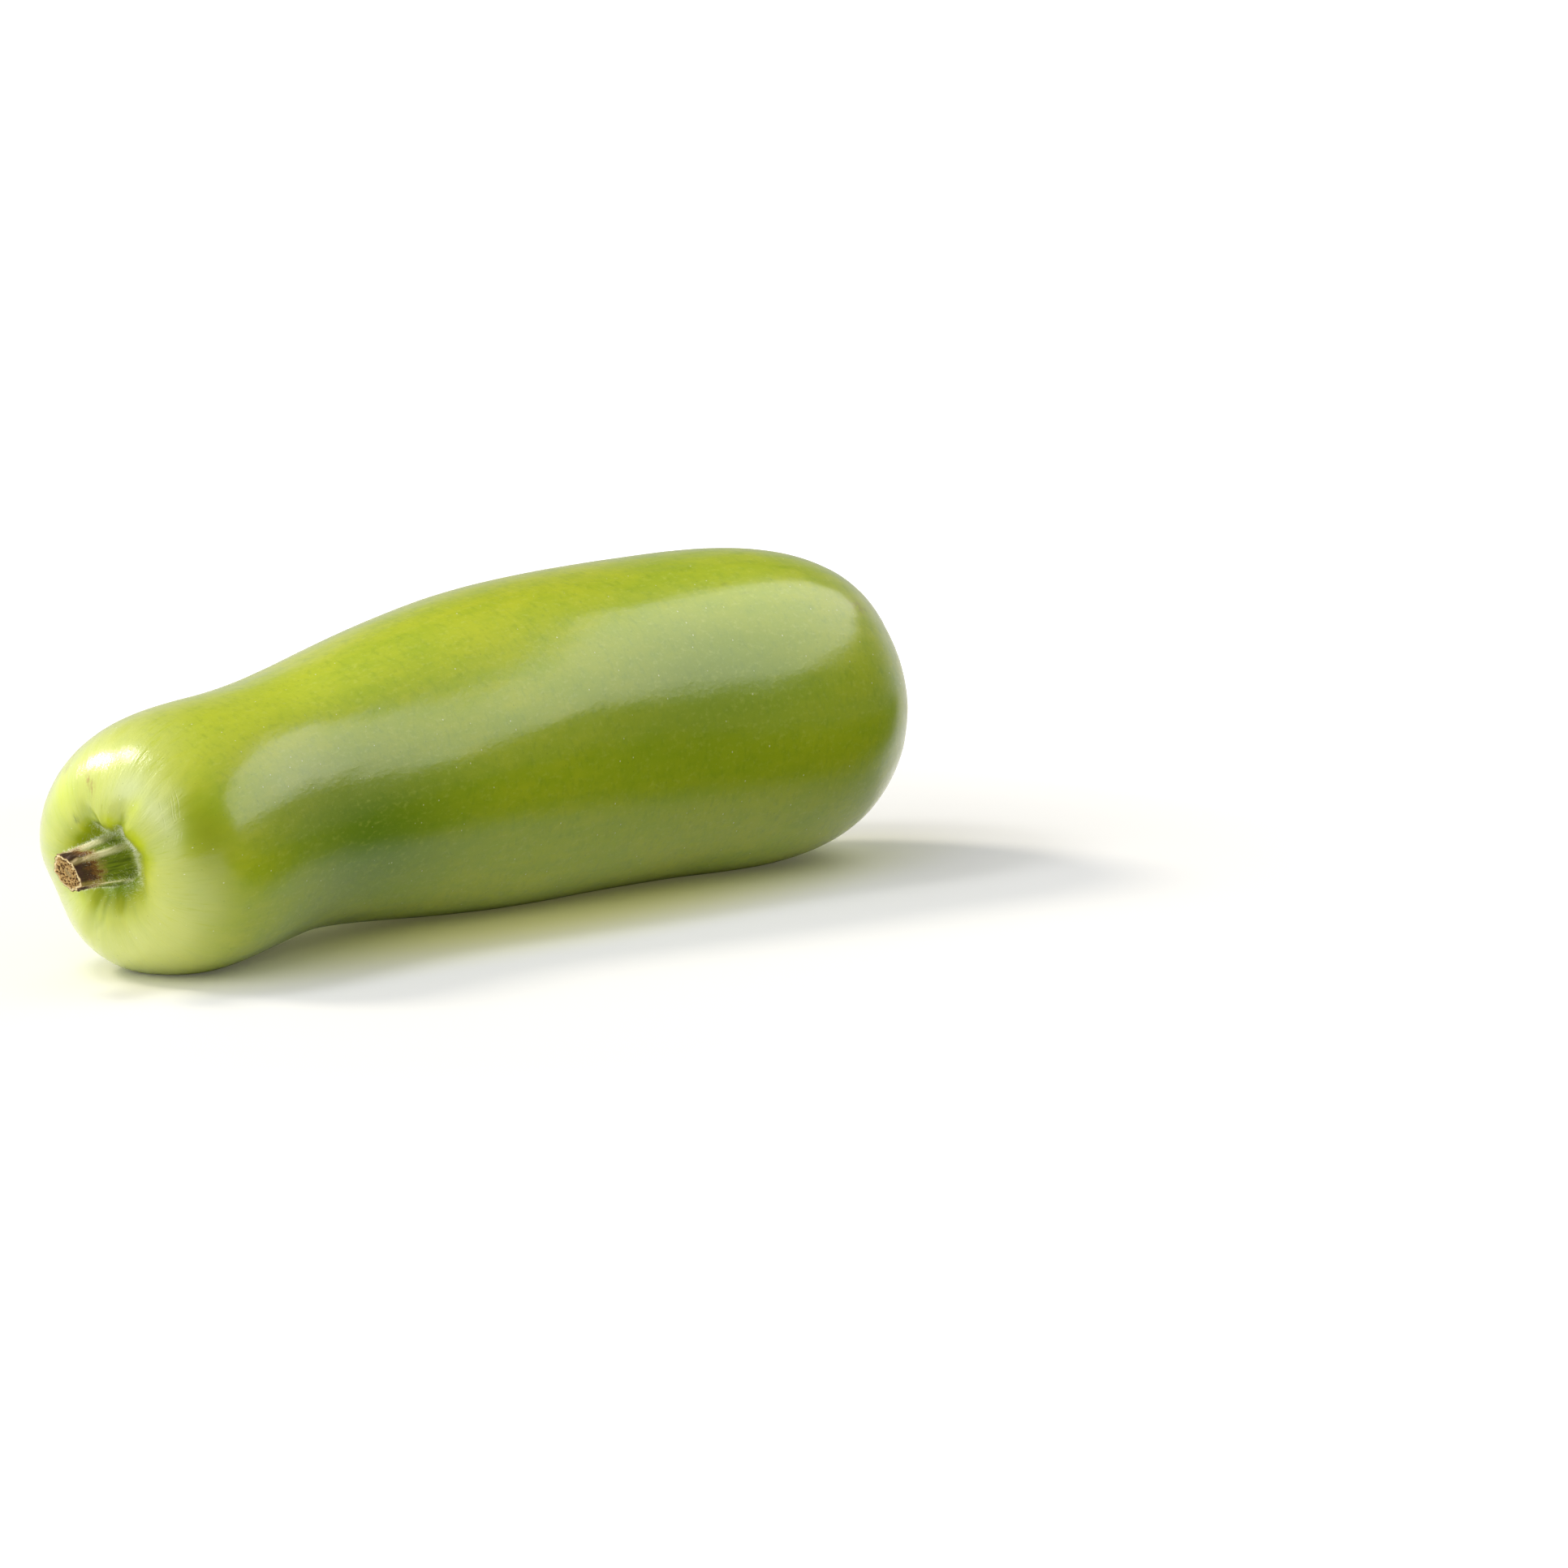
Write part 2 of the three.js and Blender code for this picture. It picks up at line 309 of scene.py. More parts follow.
# Swells and dents: height, stretch of each axis, then seed, number, shortest and longest of the waves
SKIN_WAVES = ((0.07, (1, 1, 0.5), 3, 24, 16, 40), (0.018, (1, 1, 0.45), 4, 32, 5, 10))
CALM_RADIUS = 12
# The furrows below the stalk: share that is filled, angle and half width of that side in degrees
LOWER_FILL = 0.8
LOWER_SIDE = (270, 32)
LIE_RADIUS = 40
LIE_POLE = 5
LIE_STEPS = 3001


def lie_at(t, angle):
    """Lie of the skin in mm: x and y turn with the ring angle, z is the way run from the crown."""
    steps = np.linspace(0, SPANS, LIE_STEPS)
    along, radius, _, _ = outline_at(steps)
    way = np.concatenate([[0.0], np.cumsum(np.hypot(np.diff(along), np.diff(radius)))])
    turn = LIE_RADIUS * (1 - np.exp(-outline_at(t)[1] / LIE_POLE))
    return np.stack([turn * np.cos(angle), turn * np.sin(angle), np.interp(t, steps, way)], -1)


def core_depth(radius, angle):
    """Narrow cores at the bottom of the furrows, each turning outwards and faded out at its own radius."""
    turning = smooth(*CORE_TURN, radius)
    depth = 0
    for foot, turn, most, width, end in CORE_FURROWS:
        fade = window((*FURROW_REACH[:2], end - CORE_FADE, end), radius)
        depth = depth + most * lobe(angle, foot + turn * turning, width) * fade
    return depth


def lower_fill(angle):
    """Share of the furrows below the stalk that is filled: they are softer than those above it."""
    return LOWER_FILL * lobe(angle, *LOWER_SIDE)


def fine_relief(t, angle):
    """Slow swells, small dents drawn out along the fruit, furrow cores and pleats by the stalk."""
    radius = outline_at(t)[1]
    lie = lie_at(t, angle)
    waves = sum(height * ripple(lie * stretch, *kind) for height, stretch, *kind in SKIN_WAVES)
    pleats = sum(height * np.cos(folds * angle + phase) for height, folds, phase in PLEATS)
    crown = pleats * window(PLEAT_REACH, radius) - core_depth(radius, angle)
    crown = crown + lower_fill(angle) * furrow_depth(radius, angle)
    return waves * smooth(0, CALM_RADIUS, radius) + crown * (t < CROWN_END)


def ring_corners(rows, around):
    """Corner indices of a closed surface of rings between two end points, faces turned outward."""
    column = np.arange(around)
    onward = (column + 1) % around
    grid = 1 + np.arange(rows)[:, None] * around
    first = np.stack([np.zeros(around, int), 1 + column, 1 + onward], -1)
    here = grid[:-1] + column
    beside = grid[:-1] + onward
    quads = np.stack([here, here + around, beside + around, beside], -1).reshape(-1, 4)
    last_ring = 1 + (rows - 1) * around
    last = np.stack([np.full(around, 1 + rows * around), last_ring + onward, last_ring + column], -1)
    return first, quads, last


def make_object(name, points, face_groups, attributes, material):
    """Mesh object from points in mm, groups of faces with equal corner counts, and point attributes."""
    mesh = bpy.data.meshes.new(name)
    corners = np.concatenate([group.ravel() for group in face_groups]).astype(np.int32)
    sizes = np.concatenate([np.full(len(group), group.shape[1]) for group in face_groups])
    starts = np.concatenate([[0], np.cumsum(sizes)[:-1]]).astype(np.int32)
    mesh.vertices.add(len(points))
    mesh.vertices.foreach_set("co", (points * MM).astype(np.float32).ravel())
    mesh.loops.add(len(corners))
    mesh.loops.foreach_set("vertex_index", corners)
    mesh.polygons.add(len(starts))
    mesh.polygons.foreach_set("loop_start", starts)
    mesh.update(calc_edges=True)
    mesh.polygons.foreach_set("use_smooth", np.ones(len(starts), bool))
    for key, values in attributes.items():
        kind, field = ("FLOAT_VECTOR", "vector") if values.ndim == 2 else ("FLOAT", "value")
        layer = mesh.attributes.new(key, kind, "POINT")
        layer.data.foreach_set(field, values.astype(np.float32).ravel())
    mesh.materials.append(material)
    piece = bpy.data.objects.new(name, mesh)
    bpy.context.scene.collection.objects.link(piece)
    return piece


def ring_surface(name, start, rings, end, attributes, material):
    """Closed surface through one start point, a grid of rings and one end point."""
    rows, around = rings.shape[:2]
    points = np.vstack([start, rings.reshape(-1, 3), end])
    return make_object(name, points, ring_corners(rows, around), attributes, material)


# Grid on which the formula's own box is measured
SETTLE_ROWS = 600
SETTLE_AROUND = 240


def settle_shift():
    """Shift from the formula's frame to the part's, from the middle of the CAD fruit's box."""
    t = np.linspace(0, SPANS, SETTLE_ROWS)[:, None]
    angle = np.linspace(0, 2 * math.pi, SETTLE_AROUND)[None, :]
    points = skin_point(t, angle)
    own = (points.min((0, 1)) + points.max((0, 1))) / 2
    low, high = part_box("fruit")
    middle = np.array((low + high) / 2) / MM
    return np.array([middle[0] - own[0], middle[1] - own[1], 0.0])


SETTLE = settle_shift()

# Marks on the skin, and patches of painted shade and painted light, each a name with its spots: outline
# parameter, ring angle, length along and width round in mm
MARKS = {
    "orange": ((4.07, 105, 2.6, 1.0), (3.92, 101, 3.4, 0.8)),
    "brown": ((4.59, 126, 2.2, 1.2), (12.79, 50, 4.0, 2.6)),
    "dark": ((3.2, 123, 1.6, 0.7), (2.5, 100, 1.8, 1.3), (2.3, 102, 1.2, 1.4)),
    "specks": ((11.32, 61, 1.0, 0.8), (11.45, 55, 1.0, 0.7), (9.3, 120, 1.2, 0.8), (10.2, 200, 1.1, 0.9)),
    # painted shade: a deeper green on the side of the neck turned towards the camera
    "deep": ((7.0, -9, 38.0, 23.0),),
    # painted light: a lighter yellow-green over the top of the neck, where the light falls
    "bright": ((6.2, 78, 40.0, 22.0),),
    # painted shade: darker green on the belly under its broad reflection
    "belly_painted_shade": ((10.8, 20, 50.0, 30.0),),
    # painted shade: darker olive on the crown's right side, next to its pale streaks
    "olive_painted_shade": ((4.45, 20, 6.0, 11.0),),
    # painted light: paler underside of the crown's lobe, as if lit by the floor
    "pale": ((4.0, 285, 15.0, 24.0),),
    # painted shade: darker green on the crown's right and lower right side
    "leaf_green_painted_shade": ((4.25, 15, 7.0, 9.0), (4.3, 345, 10.0, 14.0)),
    # yellow-green patches by the stalk; the first, at 145 degrees, is painted light that lifts the shade
    # beside its foot
    "lime_and_painted_light": (
        (1.9, 145, 4.0, 5.0),
        (2.9, 42, 3.0, 6.0),
        (3.7, 64, 4.0, 2.4),
        (3.0, 84, 2.0, 2.4),
        (4.15, 128, 7.0, 5.0),
    ),
    # painted sheen: pale glossy patches on the crown where light reflects
    "crown_painted_sheen": ((3.9, 46, 4.0, 9.0), (4.0, 74, 4.5, 5.0)),
}

# Pale streaks of the crown, partly real and partly painted sheen on its lit upper side, in outline
# parameters:
# where they start, end and fade, and what the upper and the right side add to that
STREAK_UPPER = (100, 36)
STREAK_RIGHT = (20, 26)
STREAK_START = (2.4, 3.4)
STREAK_END = 3.95
STREAK_END_UPPER = 1.3
STREAK_END_RIGHT = -0.25
STREAK_FADE = 1.1
STREAK_FADE_RIGHT = -0.65

# Rings of the skin: outline parameters of the first and last, and their number. The tail's parameters are
# square roots, counted from the far end.
CROWN_ROWS = (0.25, 5.5, 96)
BODY_ROWS = (5.5, 13.5, 132)
TAIL_ROWS = (math.sqrt(1.5), 0.12, 38)
SKIN_AROUND = 360

# Limits between which the stored shares rise or fade: radii in mm, shares of the depth, outline parameters
DOWNY_FADE = (11, 21)
FOOT_FADE = (7.5, 11)
SCAR_FADE = (4, 13)
FURROW_SHOWS = (0.2, 1.1)
CORE_SHOWS = (0.1, 0.9)
BODY_REACH = (4.2, 5.4, SPANS - 1.2, SPANS - 0.3)
# Lit flanks of the dimple, in degrees, and the share of the foot's painted shade, a darker green, that they
# lose
LIT_FLANKS = ((140, 40), (15, 35))
LIT_LOSS = 0.8


def spot(t, angle, mark):
    """Bell-shaped spot on the skin, oval along the fruit."""
    at, degrees, long, wide = mark
    middle = lie_at(np.array([float(at)]), np.array([degrees * DEG]))[0]
    round_way = turn_between(angle, degrees * DEG) * outline_at(t)[1]
    return bell(lie_at(t, angle)[..., 2] - middle[2], long) * bell(round_way, wide)


def crown_streak_and_sheen_share(t, angle):
    """Share of the crown's pale streaks, partly painted sheen: they reach far along the lit upper side and
    stop early at the shaded right.
    """
    right = lobe(angle, *STREAK_RIGHT)
    end = STREAK_END + STREAK_END_UPPER * lobe(angle, *STREAK_UPPER) + STREAK_END_RIGHT * right
    return window((*STREAK_START, end, end + STREAK_FADE + STREAK_FADE_RIGHT * right), t)


def skin_rows():
    """Outline parameters of the rings: 0.5 mm apart on the crown and scar, 2 mm on the body."""
    tail = SPANS - np.linspace(*TAIL_ROWS)[1:] ** 2
    return np.concatenate([np.linspace(*CROWN_ROWS), np.linspace(*BODY_ROWS)[1:], tail])


def pole(t, lift=0.0):
    """Point of the skin on its axis, as one row."""
    return skin_point(np.array([float(t)]), np.array([0.0]), lift) + SETTLE


def make_skin(shape, material):
    """Skin: rings round the bowed centre line, raised by the coarse and the fine relief."""
    angle = np.linspace(0, 2 * math.pi, SKIN_AROUND, endpoint=False)[None, :]
    t, angle = np.broadcast_arrays(skin_rows()[:, None], angle)
    rings = skin_point(t, angle, shape.relief * fine_relief(t, angle)) + SETTLE
    radius = outline_at(t)[1]
    near = (t < CROWN_END).astype(float)
    furrow = (1 - lower_fill(angle)) * furrow_depth(radius, angle) / FURROWS[0][1]
    lit = sum(lobe(angle, *flank) for flank in LIT_FLANKS)
    fields = {
        "lie": lie_at(t, angle).reshape(-1, 3),
        # furrow, core and foot hold painted shade in the hollows; crown holds pale streaks, partly painted
        # sheen
        "furrow": near * smooth(*FURROW_SHOWS, furrow),
        "core": near * smooth(*CORE_SHOWS, core_depth(radius, angle)),
        "crown": crown_streak_and_sheen_share(t, angle),
        "downy": near * (1 - smooth(*DOWNY_FADE, radius)),
        "body": window(BODY_REACH, t),
        "foot": near * (1 - smooth(*FOOT_FADE, radius)) * (1 - LIT_LOSS * lit),
        "scar": (t > SCAR_FROM) * (1 - smooth(*SCAR_FADE, radius)),
    }
    for name, spots in MARKS.items():
        fields[name] = np.minimum(1, sum(spot(t, angle, mark) for mark in spots))
    none, full = np.zeros(1), np.ones(1)
    ends = {
        "lie": (np.zeros((1, 3)), lie_at(np.array([float(SPANS)]), np.array([0.0]))),
        "foot": (full, none),
        "downy": (full, none),
        "scar": (none, full),
    }
    whole = {}
    for key, values in fields.items():
        first, last = ends.get(key, (none, none))
        middle = values if key == "lie" else values.ravel()
        whole[key] = np.concatenate([first, middle, last])
    return ring_surface("fruit_skin", pole(0), rings, pole(SPANS), whole, material)


def linear(hex_code):
    """sRGB hex to linear RGBA."""
    value = hex_code.lstrip("#")
    channels = [int(value[k : k + 2], 16) / 255 for k in (0, 2, 4)]
    return [c / 12.92 if c <= 0.04045 else ((c + 0.055) / 1.055) ** 2.4 for c in channels] + [1.0]


def add_node(tree, kind, settings=None, inputs=None, output=None):
    """Adds a shader node with its settings, and sets or links its inputs.

    Gives one of its outputs: by name, or the first in use.
    """
    node = tree.nodes.new("ShaderNode" + kind)
    for key, value in (settings or {}).items():
        setattr(node, key, value)
    for key, value in (inputs or {}).items():
        if isinstance(value, bpy.types.NodeSocket):
            tree.links.new(value, node.inputs[key])
        else:
            node.inputs[key].default_value = value
    if output:
        return node.outputs[output]
    return next((socket for socket in node.outputs if socket.enabled), None)


def new_material(name):
    """Empty node material."""
    material = bpy.data.materials.new(name)
    material.use_nodes = True
    material.node_tree.nodes.clear()
    return material, material.node_tree


# Settings that many nodes share
SMOOTH_STEP = {"interpolation_type": "SMOOTHSTEP"}
COLOUR_MIX = {"data_type": "RGBA"}
PRODUCT = {"operation": "MULTIPLY"}
PRODUCT_PLUS = {"operation": "MULTIPLY_ADD"}
SUM = {"operation": "ADD"}
DIFFERENCE = {"operation": "SUBTRACT"}
GREATER = {"operation": "MAXIMUM"}
DISTANCE = {"operation": "ABSOLUTE"}
LENGTH_OF = {"operation": "LENGTH"}
DOT = {"operation": "DOT_PRODUCT"}
NOISE_RANGE = (0.3, 0.7)
BUMP = 0.06 * MM


def between(value, start, full, least=0.0, most=1.0):
    """Inputs that take a value between start and full to an amount between least and most."""
    return {"Value": value, "From Min": start, "From Max": full, "To Min": least, "To Max": most}


def lay_tint(tree, colour, tint, value, start, full, most=1.0):
    """Colour under a tint that comes in smoothly while a value goes from start to full."""
    share = add_node(tree, "MapRange", SMOOTH_STEP, between(value, start, full, 0.0, most))
    return add_node(tree, "Mix", COLOUR_MIX, {0: share, 6: colour, 7: tint})


def read_surface(tree, table, names):
    """What a material reads: the lie of its surface, noise patterns on that, and stored shares by name.

    A row of the table gives a pattern's stretch of each axis, size in mm, detail and roughness.
    """
    lie = add_node(tree, "Attribute", {"attribute_name": "lie"}, {}, "Vector")
    patterns = {None: 1.0}
    for name, (stretch, size, detail, roughness) in table.items():
        drawn = add_node(tree, "VectorMath", PRODUCT, {0: lie, 1: stretch})
        inputs = {"Vector": drawn, "Scale": 1 / size, "Detail": detail, "Roughness": roughness}
        patterns[name] = add_node(tree, "TexNoise", {}, inputs)
    stored = {name: add_node(tree, "Attribute", {"attribute_name": name}, {}, "Fac") for name in names}
    return lie, patterns, stored


def finish_surface(tree, sockets, height=None):
    """Principled surface with its sockets, and with a fine bump where it has a height."""
    if height is not None:
        bump = add_node(tree, "Bump", {}, {"Height": height, "Strength": 1.0, "Distance": BUMP})
        sockets = {**sockets, "Normal": bump, "Coat Normal": bump}
    surface = add_node(tree, "BsdfPrincipled", {}, sockets)
    add_node(tree, "OutputMaterial", {}, {"Surface": surface})


# Light scratches near the dimple: way from the crown in mm at angle 0, its growth per radian, and their
# spacing
SCRATCH_WAY = 19.0
SCRATCH_GROWTH = 15.0
SCRATCHES = (0.0, 0.8, 2.1, -3.2)
SCRATCH_WIDTH = 0.06
SCRATCH_EDGE = 0.22
SCRATCH_WOBBLE = 1.6
# Limits of what is left of them: the pattern that breaks them, and the angles where they rise and fade
SCRATCH_BREAKS = (0.4, 0.56)
SCRATCH_RISE = (26 * DEG - 0.12, 26 * DEG + 0.12)
SCRATCH_FALL = (54 * DEG + 0.12, 54 * DEG - 0.12)


def scratches(tree, lie, wobble, broken):
    """Thin lines across the skin: nearness of the way run to a line that grows with the ring angle."""
    place = add_node(tree, "SeparateXYZ", {}, {0: lie}).node.outputs
    angle = add_node(tree, "Math", {"operation": "ARCTAN2"}, {0: place["Y"], 1: place["X"]})
    line = add_node(tree, "Math", PRODUCT_PLUS, {0: wobble, 1: SCRATCH_WOBBLE, 2: SCRATCH_WAY})
    line = add_node(tree, "Math", PRODUCT_PLUS, {0: angle, 1: SCRATCH_GROWTH, 2: line})
    off = add_node(tree, "Math", DIFFERENCE, {0: place["Z"], 1: line})
    lines = 0.0
    for spacing in SCRATCHES:
        away = add_node(tree, "Math", DIFFERENCE, {0: off, 1: spacing})
        away = add_node(tree, "Math", DISTANCE, {0: away})
        near = add_node(tree, "MapRange", SMOOTH_STEP, between(away, SCRATCH_EDGE, SCRATCH_WIDTH))
        lines = add_node(tree, "Math", GREATER, {0: near, 1: lines})
    for value, edges in ((broken, SCRATCH_BREAKS), (angle, SCRATCH_RISE), (angle, SCRATCH_FALL)):
        lines = add_node(tree, "MapRange", SMOOTH_STEP, between(value, *edges, 0.0, lines))
    return lines


WAX_FILM = {"IOR": 1.45, "Coat Roughness": 0.17, "Coat IOR": 1.6}
FILM_IN_DOWN = 0.12
RIND_ROUGHNESS = (0.34, 0.42)

# Patterns of the rind: stretch of each axis, size in mm, detail, roughness
RIND_PATTERNS = {
    "cloud": ((1, 1, 0.55), 24, 3, 0.5),
    "mottle": ((1, 1, 0.55), 4.4, 4, 0.6),
    "streak": ((1, 1, 0.07), 2.2, 3, 0.6),
    "brushed": ((1, 1, 0.13), 1.3, 5, 0.65),
    "grain": ((1, 1, 0.6), 1.2, 4, 0.6),
    "dabs": ((0.8, 0.8, 1.2), 2.4, 4, 0.65),
    "wobble": ((1, 1, 1), 9, 1, 0.5),
    "broken": ((1, 1, 0.3), 4, 2, 0.5),
}
RIND_TONE = (("cloud", 0.5), ("mottle", 0.32), ("streak", 0.18))

# Tints of the rind: stored share, colour, most, the pattern that breaks it up and from where it shows
RIND_TINTS = (
    # deep: painted shade on one side of the neck
    ("deep", "#5f8204", 0.9, None, 0),
    # bright: painted light on the top of the neck
    ("bright", "#cfdc34", 0.5, None, 0),
    # painted shade under the belly's reflection
    ("belly_painted_shade", "#809a08", 0.8, None, 0),
    ("body", "#668a0a", 0.28, "dabs", 0.46),
    ("body", "#d2db6c", 0.3, "grain", 0.5),
    # olive: painted shade on the crown's right side
    ("olive_painted_shade", "#8f9d08", 0.8, None, 0),
    # pale: painted light under the crown's lobe
    ("pale", "#e2e48c", 0.5, "brushed", 0.1),
    # leaf: painted shade on the crown's right side
    ("leaf_green_painted_shade", "#8c9c04", 0.34, None, 0),
    # crown: pale streaks, partly painted sheen on the lit upper side
    ("crown", "#c9d27e", 0.36, "brushed", 0.2),
    # painted sheen on the crown
    ("crown_painted_sheen", "#d0dba0", 0.5, "brushed", 0.1),
    # furrow and core: painted shade down the furrows and their cores
    ("furrow", "#8ba52e", 0.45, None, 0),
    ("core", "#5d7a1e", 0.75, None, 0),
    # foot: painted shade in the dimple round the stalk's foot
    ("foot", "#6f961c", 0.6, None, 0),
    # lime: yellow-green, partly painted light
    ("lime_and_painted_light", "#c3d20a", 0.7, "cloud", 0.2),
    ("dark", "#566e34", 0.6, "grain", 0.3),
    ("orange", "#9c7420", 0.7, "grain", 0.38),
    ("brown", "#93803a", 0.6, "grain", 0.34),
    ("specks", "#6e7a1c", 0.5, None, 0),
    ("scar", "#97763a", 0.9, "mottle", 0.2),
)
# How far past that start a pattern lets its tint through in full
TINT_EDGE = 0.3

# Dots of the rind: spacing in mm, radius as a share of it, share of the cells that have one, colour,
# strength
# The pale dots are hair stubs, drawn brighter than their colour as painted glints; the dark ones are pores.
RIND_DOTS = ((2.6, 0.09, 0.32, "#eef2c8", 0.65), (3.7, 0.06, 0.9, "#5c7a10", 0.35))
DOT_EDGE = (1.25, 0.75)
DOT_CHANCE_EDGE = 0.02

SCRATCH_TINT = "#e3e9b4"
SCRATCH_SHARE = 0.2

# Heights of the rind over its grain: of a dot, a scratch and a bloom streak
DOT_HEIGHT = 0.5
SCRATCH_HEIGHT = -0.6
STREAK_HEIGHT = 2.2


def waxy_gourd_rind(colours):
    """Rind of a young bottle gourd: living plant skin under a thin natural wax.

    The wax gives a broad soft gloss with a crisp edge. The colour under it is uneven, in streaks that run
    lengthwise and gather at the stalk. Short bloom streaks on the crown, partly painted sheen, and tiny pale
    hair stubs, partly painted glints, catch light. The wax thins out in the downy dimple round the stalk. The
    colour also holds painted shade in the furrows, round the stalk's foot and on one side of the neck, crown
    and belly, and painted light on the top of the neck and under the crown's lobe.
    """
    material, tree = new_material("waxy_gourd_rind")
    names = {row[0]: None for row in RIND_TINTS}
    lie, patterns, stored = read_surface(tree, RIND_PATTERNS, (*names, "downy"))
    tone = 0.0
    for name, weight in RIND_TONE:
        tone = add_node(tree, "Math", PRODUCT_PLUS, {0: patterns[name], 1: weight, 2: tone})
    colour = lay_tint(tree, colours.green, colours.yellow, tone, *NOISE_RANGE)
    for name, tint, most, pattern, start in RIND_TINTS:
        share = add_node(tree, "Math", PRODUCT, {0: stored[name], 1: most})
        colour = lay_tint(tree, colour, linear(tint), patterns[pattern], start, start + TINT_EDGE, share)
    raised = 0.0
    for spacing, radius, chosen, tint, strength in RIND_DOTS:
        cells = add_node(tree, "TexVoronoi", {}, {"Vector": lie, "Scale": 1 / spacing}).node.outputs
        drawn = between(cells["Color"], 1 - chosen, 1 - chosen + DOT_CHANCE_EDGE, 0.0, strength)
        drawn = add_node(tree, "MapRange", {}, drawn)
        dot = between(cells["Distance"], *(edge * radius for edge in DOT_EDGE), 0.0, drawn)
        dot = add_node(tree, "MapRange", SMOOTH_STEP, dot)
        colour = add_node(tree, "Mix", COLOUR_MIX, {0: dot, 6: colour, 7: linear(tint)})
        raised = add_node(tree, "Math", SUM, {0: dot, 1: raised})
    scratch = scratches(tree, lie, patterns["wobble"], patterns["broken"])
    share = add_node(tree, "Math", PRODUCT, {0: scratch, 1: SCRATCH_SHARE})
    colour = add_node(tree, "Mix", COLOUR_MIX, {0: share, 6: colour, 7: linear(SCRATCH_TINT)})
    streaks = add_node(tree, "Math", PRODUCT, {0: stored["crown"], 1: patterns["brushed"]})
    height = patterns["grain"]
    for form, rise in ((raised, DOT_HEIGHT), (scratch, SCRATCH_HEIGHT), (streaks, STREAK_HEIGHT)):
        height = add_node(tree, "Math", PRODUCT_PLUS, {0: form, 1: rise, 2: height})
    roughness = between(patterns["mottle"], *NOISE_RANGE, *RIND_ROUGHNESS)
    film = between(stored["downy"], 0.0, 1.0, 1.0, FILM_IN_DOWN)
    sockets = {
        **WAX_FILM,
        "Base Color": colour,
        "Roughness": add_node(tree, "MapRange", {}, roughness),
        "Coat Weight": add_node(tree, "MapRange", SMOOTH_STEP, film),
    }
    finish_surface(tree, sockets, height)
    return material


# Fine stalk, in mm
STALK_AROUND = 240
SIDE_ROWS = 96
FACE_ROWS = 40
FACE_MIDDLE = 0.02
FOOT_SINK = -0.5
FOOT_END_SINK = -1.2
DIMPLE_SPAN = 3
DIMPLE_STEPS = 2001
STALK_LIE = 6
# Waves of the stalk: seed, number, shortest and longest
FIBRE_WAVES = (21, 8, 6, 20)
CRUMPLE_WAVES = (22, 20, 1.4, 4.5)
RAGGED_WAVES = (23, 12, 1.2, 4)
TORN_WAVES = (24, 24, 0.7, 2.4)
FIBRE_HEIGHT = 0.05
FIBRES = 44
FIBRE_WANDER = 2
CRUMPLE_STRETCH = (1, 1, 0.6)
WITHERED = (0.55, 0.95)
WITHER_HEIGHT = 0.22
WITHER_FILL = 0.25
RAGGED = 0.11
RIM_FROM_SIDE = 0.85
RIM_FROM_FACE = 0.86
TORN = 0.12
# Vessels: seed, number, depth and radius of a pit, least and further share of the reach and of the radius
VESSEL_SEED = 31
VESSELS = 170
VESSEL_DEPTH = 0.55
VESSEL_RADIUS = 0.23
VESSEL_REACH = STALK_CORE + 0.3
VESSEL_SPREAD = (0.06, 0.86)
VESSEL_SIZES = (0.7, 0.8)
BUNDLE_HEIGHT = 0.16
BUNDLE_WIDTH = 0.2
PITH_DEPTH = 1.1
PITH_LONG = 1.5
PITH_WIDE = 0.9
# Shares of the cut face's radius: where it turns into the rim, and where its pale edge lies
CUT_RIM = (0.95, 1)
CUT_EDGE = (0.9, 0.06)


def span_at_radius(radius):
    """Outline parameter at which the floor of the dimple reaches a radius, by interpolation."""
    steps = np.linspace(0, DIMPLE_SPAN, DIMPLE_STEPS)
    return np.interp(radius, outline_at(steps)[1], steps)


def ridge_share(angle):
    """How far up a ridge of the stalk a point is, from 0 to about 1."""
    return sum(lobe(angle, ridge, RIDGE_WIDTH) for ridge in STALK_RIDGES)


def stalk_radius(s, angle):
    """Radius of the stalk at share s of its length: core, taper, flared foot and ridges."""
    taper = STALK_TAPER * (1 - s) ** STALK_TAPER_POWER
    flare = STALK_FLARE * np.exp(-s / STALK_FLARE_LENGTH)
    return STALK_CORE + taper + flare + RIDGE_HEIGHT * ridge_share(angle)


def stalk_place():
    """Base point and directions of the stalk, at the ring where its foot meets the dimple."""
    along = outline_at(np.array([FOOT_SPAN]))[0]
    centre, tangent, side, up = (part[0] for part in centre_at(along))
    aside, above = crown_shift(FOOT_SPAN)
    return centre + aside * side + above * up, tangent, side, up


def stalk_point(sideways, upwards, height):
    """Point of the leaning stalk from its offsets across and its height over the foot."""
    base, tangent, side, up = stalk_place()
    across = (sideways + STALK_LEAN_SIDE * height)[..., None] * side
    lift = (upwards + STALK_LEAN_UP * height)[..., None] * up
    return base - height[..., None] * tangent + across + lift


def stalk_lie(angle, height, share=1.0):
    """Lie of the stalk in mm: x and y turn with the ring angle and grow with the share, z is the height."""
    turn = STALK_LIE * share
    return np.stack(np.broadcast_arrays(turn * np.cos(angle), turn * np.sin(angle), height), -1)


def cut_height(sideways, upwards):
    """Height of the slanted cut over the foot."""
    return STALK_LENGTH + CUT_SIDE * sideways + CUT_UP * upwards


def rim_relief(angle):
    """Ragged rim of the cut, lower than the plane of the cut."""
    return RAGGED * ripple(stalk_lie(angle, 0.0), *RAGGED_WAVES) - RIM_DROP


def wither(s):
    """Share of drying towards the cut."""
    return smooth(*WITHERED, s)


